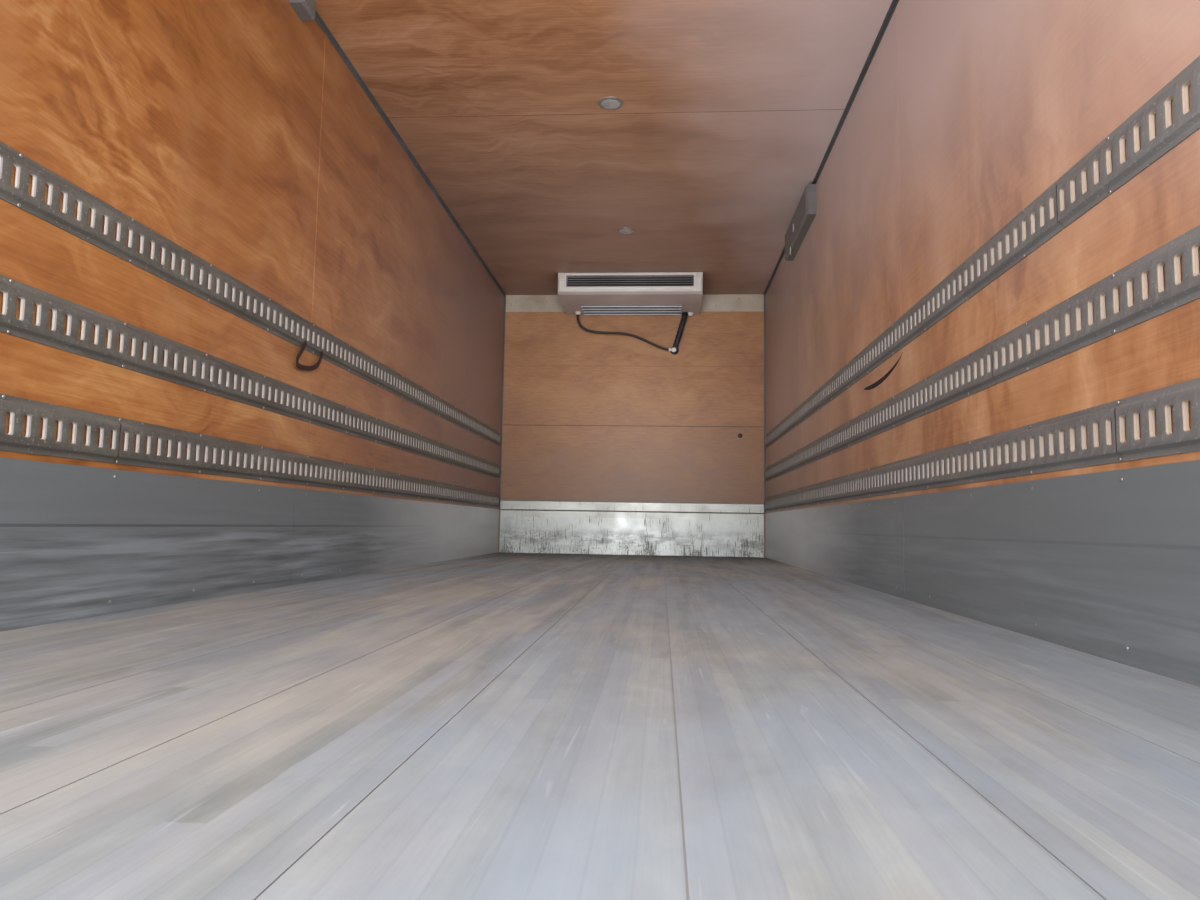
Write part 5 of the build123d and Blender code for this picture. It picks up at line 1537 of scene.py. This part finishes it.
def bufferBlocks():
    wide, deep = bufferSet["dock"][:2]
    level = (bufferSet["dockFoot"] + deckTop) / 2
    sunk = bufferSet["holeDepth"]
    pieces, places = [], []
    for way in (-1, 1):
        x = way * (halfOuter - bufferSet["dockIn"] - wide / 2)
        block = boxRound("block", (x, rearFace - deep / 2, level), bufferSet["dock"], 0.009, 4)
        for up in (-bufferSet["holeApart"], bufferSet["holeApart"]):
            y, z = rearFace - deep + sunk, level + up
            cutOut(block, easedDisc("hole", bufferSet["holeRadius"], 0.05, (x, y, z), (0, -1, 0), 0, 24))
            places.append(((x, y - 0.0002, z), (0, -1, 0)))
        stop = turned("stop", bufferSet["stop"], 32)
        stop.data.transform(moved(way * halfOuter, *bufferSet["stopPlace"]) @ turnTo((way, 0, 0)))
        pieces += [block, stop]
    finishPiece(joinPieces(pieces, "bufferBlocks"), "blackRubber", ["buffers"])
    bolts("bufferBolts", places)


profileRivets()
doorLeaf()
doorInside()
doorSeal()
doorHardware()
portalTrim()
markerLamps()
bufferBlocks()
print("doors, portal, lamps and buffers dressed")

# Condenser unit: a moulded cover with two windows, a joint down its middle, vents in its cheeks
unitLow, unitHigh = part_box("unit_housing")
unitSet = {"crown": 0.150, "chin": 0.060, "wall": 0.004, "cheek": 0.016, "window": (0.560, 0.340),
           "across": 0.330, "up": 0.250, "corner": 0.040, "seam": 0.0020, "vents": 9, "ventPitch": 0.034,
           "noseIn": 0.0008, "vent": (2.0, 0.170, 0.010), "firstVent": 0.120, "ventIn": 0.170,
           "faceScrews": (0.70, (0.085, 0.250, 0.400)), "cheekScrews": ((0.030, 0.310), (0.070, 0.470))}
grilleSet = {"frame": 0.016, "depth": 0.014, "slats": 13, "chord": 0.0125, "sheet": 0.003, "tilt": 35.0,
             "fit": 0.0003, "ribs": (-0.13, 0.0, 0.13), "rib": (0.006, 0.004)}
fanSet = {"hub": 0.042, "hubLong": 0.050, "bore": 0.0081, "radius": 0.156, "blades": 5, "chord": 0.088,
          "rows": 7, "rootTurn": 42.0, "tipTurn": 24.0, "sweep": 0.020, "sheet": 0.003, "behind": 0.153,
          "plate": (0.062, 0.0025), "hole": 0.176, "ring": [(0.1615, 0), (0.166, 0), (0.166, 0.050),
                                                            (0.178, 0.062), (0.184, 0.0645),
                                  (0.184, 0.067), (0.176, 0.0665), (0.1615, 0.052), (0.1615, 0)]}
unitLevel = unitLow.z + unitSet["up"]
alongY = Matrix.Rotation(-math.pi / 2, 4, "X")


def unitCover():
    low, high = unitLow, unitHigh - Vector((0, unitSet["noseIn"], 0))
    cover = easedBox("unitCover", low, high, 0)
    startEdit(cover)
    pick(cover, "FACE", lambda face: face.normal.y < -0.9)
    bpy.ops.mesh.delete(type="FACE")
    for level, offset, segments in ((high.z, unitSet["crown"], 16), (low.z, unitSet["chin"], 1)):
        bevelWhere(cover, lambda edge: abs(middle(edge).z - level) < nearly
                   and middle(edge).y > high.y - nearly, offset, segments)
    bevelWhere(cover, lambda edge: not edge.is_boundary
               and min(abs(vertex.co.x) for vertex in edge.verts) > high.x - nearly, unitSet["cheek"], 5)
    for x in (-unitSet["seam"], unitSet["seam"]):
        selectAllParts()
        bpy.ops.mesh.bisect(plane_co=(x, 0, 0), plane_no=(1, 0, 0))
    endEdit()
    applyModifier(cover, "SOLIDIFY", thickness=unitSet["wall"], offset=-1)
    wide, tall = unitSet["window"]
    for way in (-1, 1):
        window = boxRound("window", (way * unitSet["across"], high.y, unitLevel), (wide, 0.04, tall), 0)
        roundCorners(window, unitSet["corner"], 6)
        cutOut(cover, window, True)
    along, up = low.y + unitSet["ventIn"], low.z + unitSet["firstVent"]
    vents = [boxRound("vent", (0, along, up + i * unitSet["ventPitch"]), unitSet["vent"], 0)
             for i in range(unitSet["vents"])]
    cutOut(cover, joinPieces(vents, "vents"), True)
    setMaterial(cover, "unitCover", "blackRubber")
    for face in cover.data.polygons:
        face.material_index = int(abs(face.center.x) < unitSet["seam"])
    finishPiece(cover, None, ["unit_housing"], 30)
    places = []
    across, ups = unitSet["faceScrews"]
    alongs, sideUps = unitSet["cheekScrews"]
    for way in (-1, 1):
        places += [((way * across, high.y - 0.0015, low.z + up), (0, 1, 0)) for up in ups]
        places += [((way * (high.x - 0.0008), low.y + along, low.z + up), (way, 0, 0)) for along in alongs
                   for up in sideUps]
    screws("unitScrews", places)


# Plate behind the windows with the fans' inlet rings, and dark blades angled down over each window
def unitGrilles():
    wide, tall = (side / 2 - grilleSet["fit"] for side in unitSet["window"])
    front, depth, frameWide = unitHigh.y, grilleSet["depth"], grilleSet["frame"]
    tilt = Matrix.Rotation(math.radians(grilleSet["tilt"]), 4, "X")
    innerWide, innerTall = wide - frameWide, tall - frameWide
    pitch = 2 * innerTall / (grilleSet["slats"] + 1)
    ribWide, ribDeep = grilleSet["rib"]
    pieces = []
    for way in (-1, 1):
        x = way * unitSet["across"]
        rim = easedBox("rim", (x - wide, front - depth, unitLevel - tall),
                       (x + wide, front - 0.0004, unitLevel + tall), 0)
        roundCorners(rim, unitSet["corner"], 6)
        hole = boxRound("hole", (x, front, unitLevel), (2 * innerWide, 0.1, 2 * innerTall), 0)
        roundCorners(hole, unitSet["corner"] - frameWide, 5)
        cutOut(rim, hole)
        easeEdges(rim, 0.0015, angle=50)
        pieces.append(rim)
        for i in range(grilleSet["slats"]):
            slat = boxRound("slat", (0, 0, 0),
                            (2 * wide - frameWide, grilleSet["chord"], grilleSet["sheet"]), 0.0009, 1)
            slat.data.transform(moved(x, front - depth / 2, unitLevel - innerTall + (i + 1) * pitch) @ tilt)
            pieces.append(slat)
        for rib in grilleSet["ribs"]:
            pieces.append(boxRound("rib", (x + rib, front - depth + ribDeep / 2, unitLevel),
                                   (ribWide, ribDeep, 2 * tall - frameWide), 0.0008, 1))
    finishPiece(joinPieces(pieces, "unitGrilles"), "blackPlastic", ["unit_grilles"])


def fanShrouds():
    near, wall = unitLow.y + fanSet["behind"], unitSet["wall"] + 0.001
    plateIn, sheet = fanSet["plate"]
    plate = easedBox("plate", (unitLow.x + wall, near + plateIn, unitLow.z + wall),
                     (unitHigh.x - wall, near + plateIn + sheet, unitHigh.z - wall), 0)
    rings = []
    for way in (-1, 1):
        x = way * unitSet["across"]
        cutOut(plate, easedDisc("hole", fanSet["hole"], 0.1, (x, near + 0.02, unitLevel), (0, 1, 0), 0, 56))
        rings.append(turned("ring", fanSet["ring"], 56))
        rings[-1].data.transform(moved(x, near, unitLevel) @ alongY)
    finishPiece(joinPieces([plate] + rings, "fanShrouds"), "blackPlastic")


# Fan: a domed hub, and blades twisted from root to tip and swept forward
def fans():
    rows, root, tip = fanSet["rows"], fanSet["hub"] - 0.006, fanSet["radius"]
    blade = flatStart("blade", (fanSet["chord"], tip - root, 1), rotation=(math.pi / 2, 0, 0),
                      location=(0, 0, (tip + root) / 2))
    startEdit(blade)
    bpy.ops.mesh.subdivide(number_cuts=rows - 2)
    for i in range(rows):
        share = i / (rows - 1)
        height = root + (tip - root) * share
        turn = fanSet["rootTurn"] + (fanSet["tipTurn"] - fanSet["rootTurn"]) * share
        pick(blade, "VERT", lambda vertex: abs(vertex.co.z - height) < nearly)
        bpy.ops.transform.resize(value=(0.72 + 0.28 * math.sin(share * math.pi * 0.75), 1, 1),
                                 center_override=(0, 0, height))
        bpy.ops.transform.rotate(value=math.radians(turn), orient_axis="Z", center_override=(0, 0, height))
        bpy.ops.transform.translate(value=(fanSet["sweep"] * share * share, 0, 0))
    endEdit()
    applyModifier(blade, "SOLIDIFY", thickness=fanSet["sheet"], offset=0)
    easeEdges(blade, 0.0010, 1, 60)
    count = fanSet["blades"]
    turns = [Matrix.Rotation(2 * math.pi * i / count, 4, "Y") for i in range(count)]
    blades = spreadCopies(blade, turns, "blades")
    hub, long, bore = fanSet["hub"], fanSet["hubLong"], fanSet["bore"]
    core = turned("hub", [(bore, 0), (hub - 0.002, 0), (hub, 0.002), (hub, long - 0.012),
                          (hub - 0.004, long - 0.004),
                          (hub - 0.014, long - 0.0005), (0.012, long), (0, long), (0, 0.041), (bore, 0.040),
                          (bore, 0)])
    core.data.transform(moved(0, -long / 2, 0) @ alongY)
    fan = joinPieces([blades, core], "fan")
    for side, way in (("left", -1), ("right", 1)):
        place = moved(way * unitSet["across"], unitLow.y + fanSet["behind"] + long / 2, unitLevel)
        finishPiece(copyOf(fan, f"condenserFan_{side}", place), "blackPlastic",
                    [f"fan_{side}"], body=f"{side}_fan")
    bpy.data.objects.remove(fan)


unitCover()
unitGrilles()
fanShrouds()
fans()
print("condenser unit and fans dressed")

# Light: the open doorway's daylight, a broad sky, light thrown back inside, and a plain white room around
# the body
middleLevel = (deckTop + ceilingLevel) / 2
areaLights = {
    "doorwayDaylight": {"size": (2.2, 2.2), "power": 84.0, "place": (0, rearFace + 0.10, middleLevel),
                        "aim": (0, 0, middleLevel), "colour": "#EFF3FF"},
    "yardDaylight": {"size": (4.2, 2.3), "power": 330.0, "place": (0.3, -12.5, 1.45),
                     "aim": (0, 0, middleLevel), "colour": "#F4F7FF"},
    "skyLight": {"size": (9.0, 9.0), "power": 600.0, "place": (6.0, 1.0, 9.0), "aim": (0, 0, 1),
                 "colour": "#FFFFFF"}}
bounceSet = {"count": 5, "first": 0.9, "pitch": 1.35, "height": 1.25, "radius": 0.5, "power": 13.0,
             "colour": "#EEF3FF"}
roomSet = {"colour": "#F3F6FA", "strength": 0.75, "floorSize": 90, "floorColour": "#E9EBED",
           "floorFade": (7.0, 17.0)}


def addLamp(name, kind, power, colour, place):
    data = bpy.data.lights.new(name, kind)
    data.energy = power
    data.color = hexColour(colour)[:3]
    lamp = bpy.data.objects.new(name, data)
    lamp.location = place
    lamp.visible_camera = False
    bpy.context.scene.collection.objects.link(lamp)
    return lamp


def makeLights():
    for name, light in areaLights.items():
        lamp = addLamp(name, "AREA", light["power"], light["colour"], light["place"])
        lamp.data.shape = "RECTANGLE"
        lamp.data.size, lamp.data.size_y = light["size"]
        aim = Vector(light["aim"]) - Vector(light["place"])
        lamp.rotation_euler = aim.to_track_quat("-Z", "Y").to_euler()
    for i in range(bounceSet["count"]):
        lamp = addLamp(f"insideBounce{i}", "POINT", bounceSet["power"], bounceSet["colour"],
                       inside(0, bounceSet["first"] + i * bounceSet["pitch"], bounceSet["height"]))
        lamp.data.shadow_soft_size = bounceSet["radius"]
        lamp.visible_glossy = False


# The room lights the body softly, and the camera and the glossy rays see it plain white
def whiteRoom():
    world = bpy.data.worlds.new("whiteRoom")
    bpy.context.scene.world = world
    world.use_nodes = True
    tree = world.node_tree
    room = tree.nodes["Background"]
    room.inputs["Color"].default_value = hexColour(roomSet["colour"])
    room.inputs["Strength"].default_value = roomSet["strength"]
    white = addNode(tree, "Background", {"Color": (1, 1, 1, 1), "Strength": 1.0})
    path = addNode(tree, "LightPath")
    seen = path.outputs["Is Camera Ray"]
    for kind in ("Is Glossy Ray", "Is Transmission Ray"):
        seen = addNode(tree, "Math MAXIMUM", {}, {0: seen, 1: path.outputs[kind]})
    mixed = addNode(tree, "MixShader", {}, {0: seen, 1: room, 2: white})
    tree.links.new(outputOf(mixed), tree.nodes["World Output"].inputs["Surface"])


# Floor that fades into the white room far from the body
def stageFloor():
    floor = flatStart("stageFloor", size=roomSet["floorSize"])
    material, tree, shader, place = newMaterial("plainWhiteFloor", {
        "Base Color": roomSet["floorColour"], "Roughness": 0.8})
    away = addNode(tree, "VectorMath LENGTH", {}, {0: place})
    start, end = roomSet["floorFade"]
    fade = addNode(tree, "MapRange", {1: start, 2: end}, {0: away})
    white = addNode(tree, "Emission", {"Color": (1, 1, 1, 1), "Strength": 1.0})
    path = addNode(tree, "LightPath")
    seen = addNode(tree, "Math MULTIPLY", {}, {0: fade, 1: path.outputs["Is Camera Ray"]})
    mixed = addNode(tree, "MixShader", {}, {0: seen, 1: shader, 2: white})
    tree.links.new(outputOf(mixed), tree.nodes["Material Output"].inputs["Surface"])
    floor.data.materials.append(material)


makeLights()
whiteRoom()
stageFloor()
bpy.context.scene.view_settings.view_transform = "Standard"
print("lights and floor set")
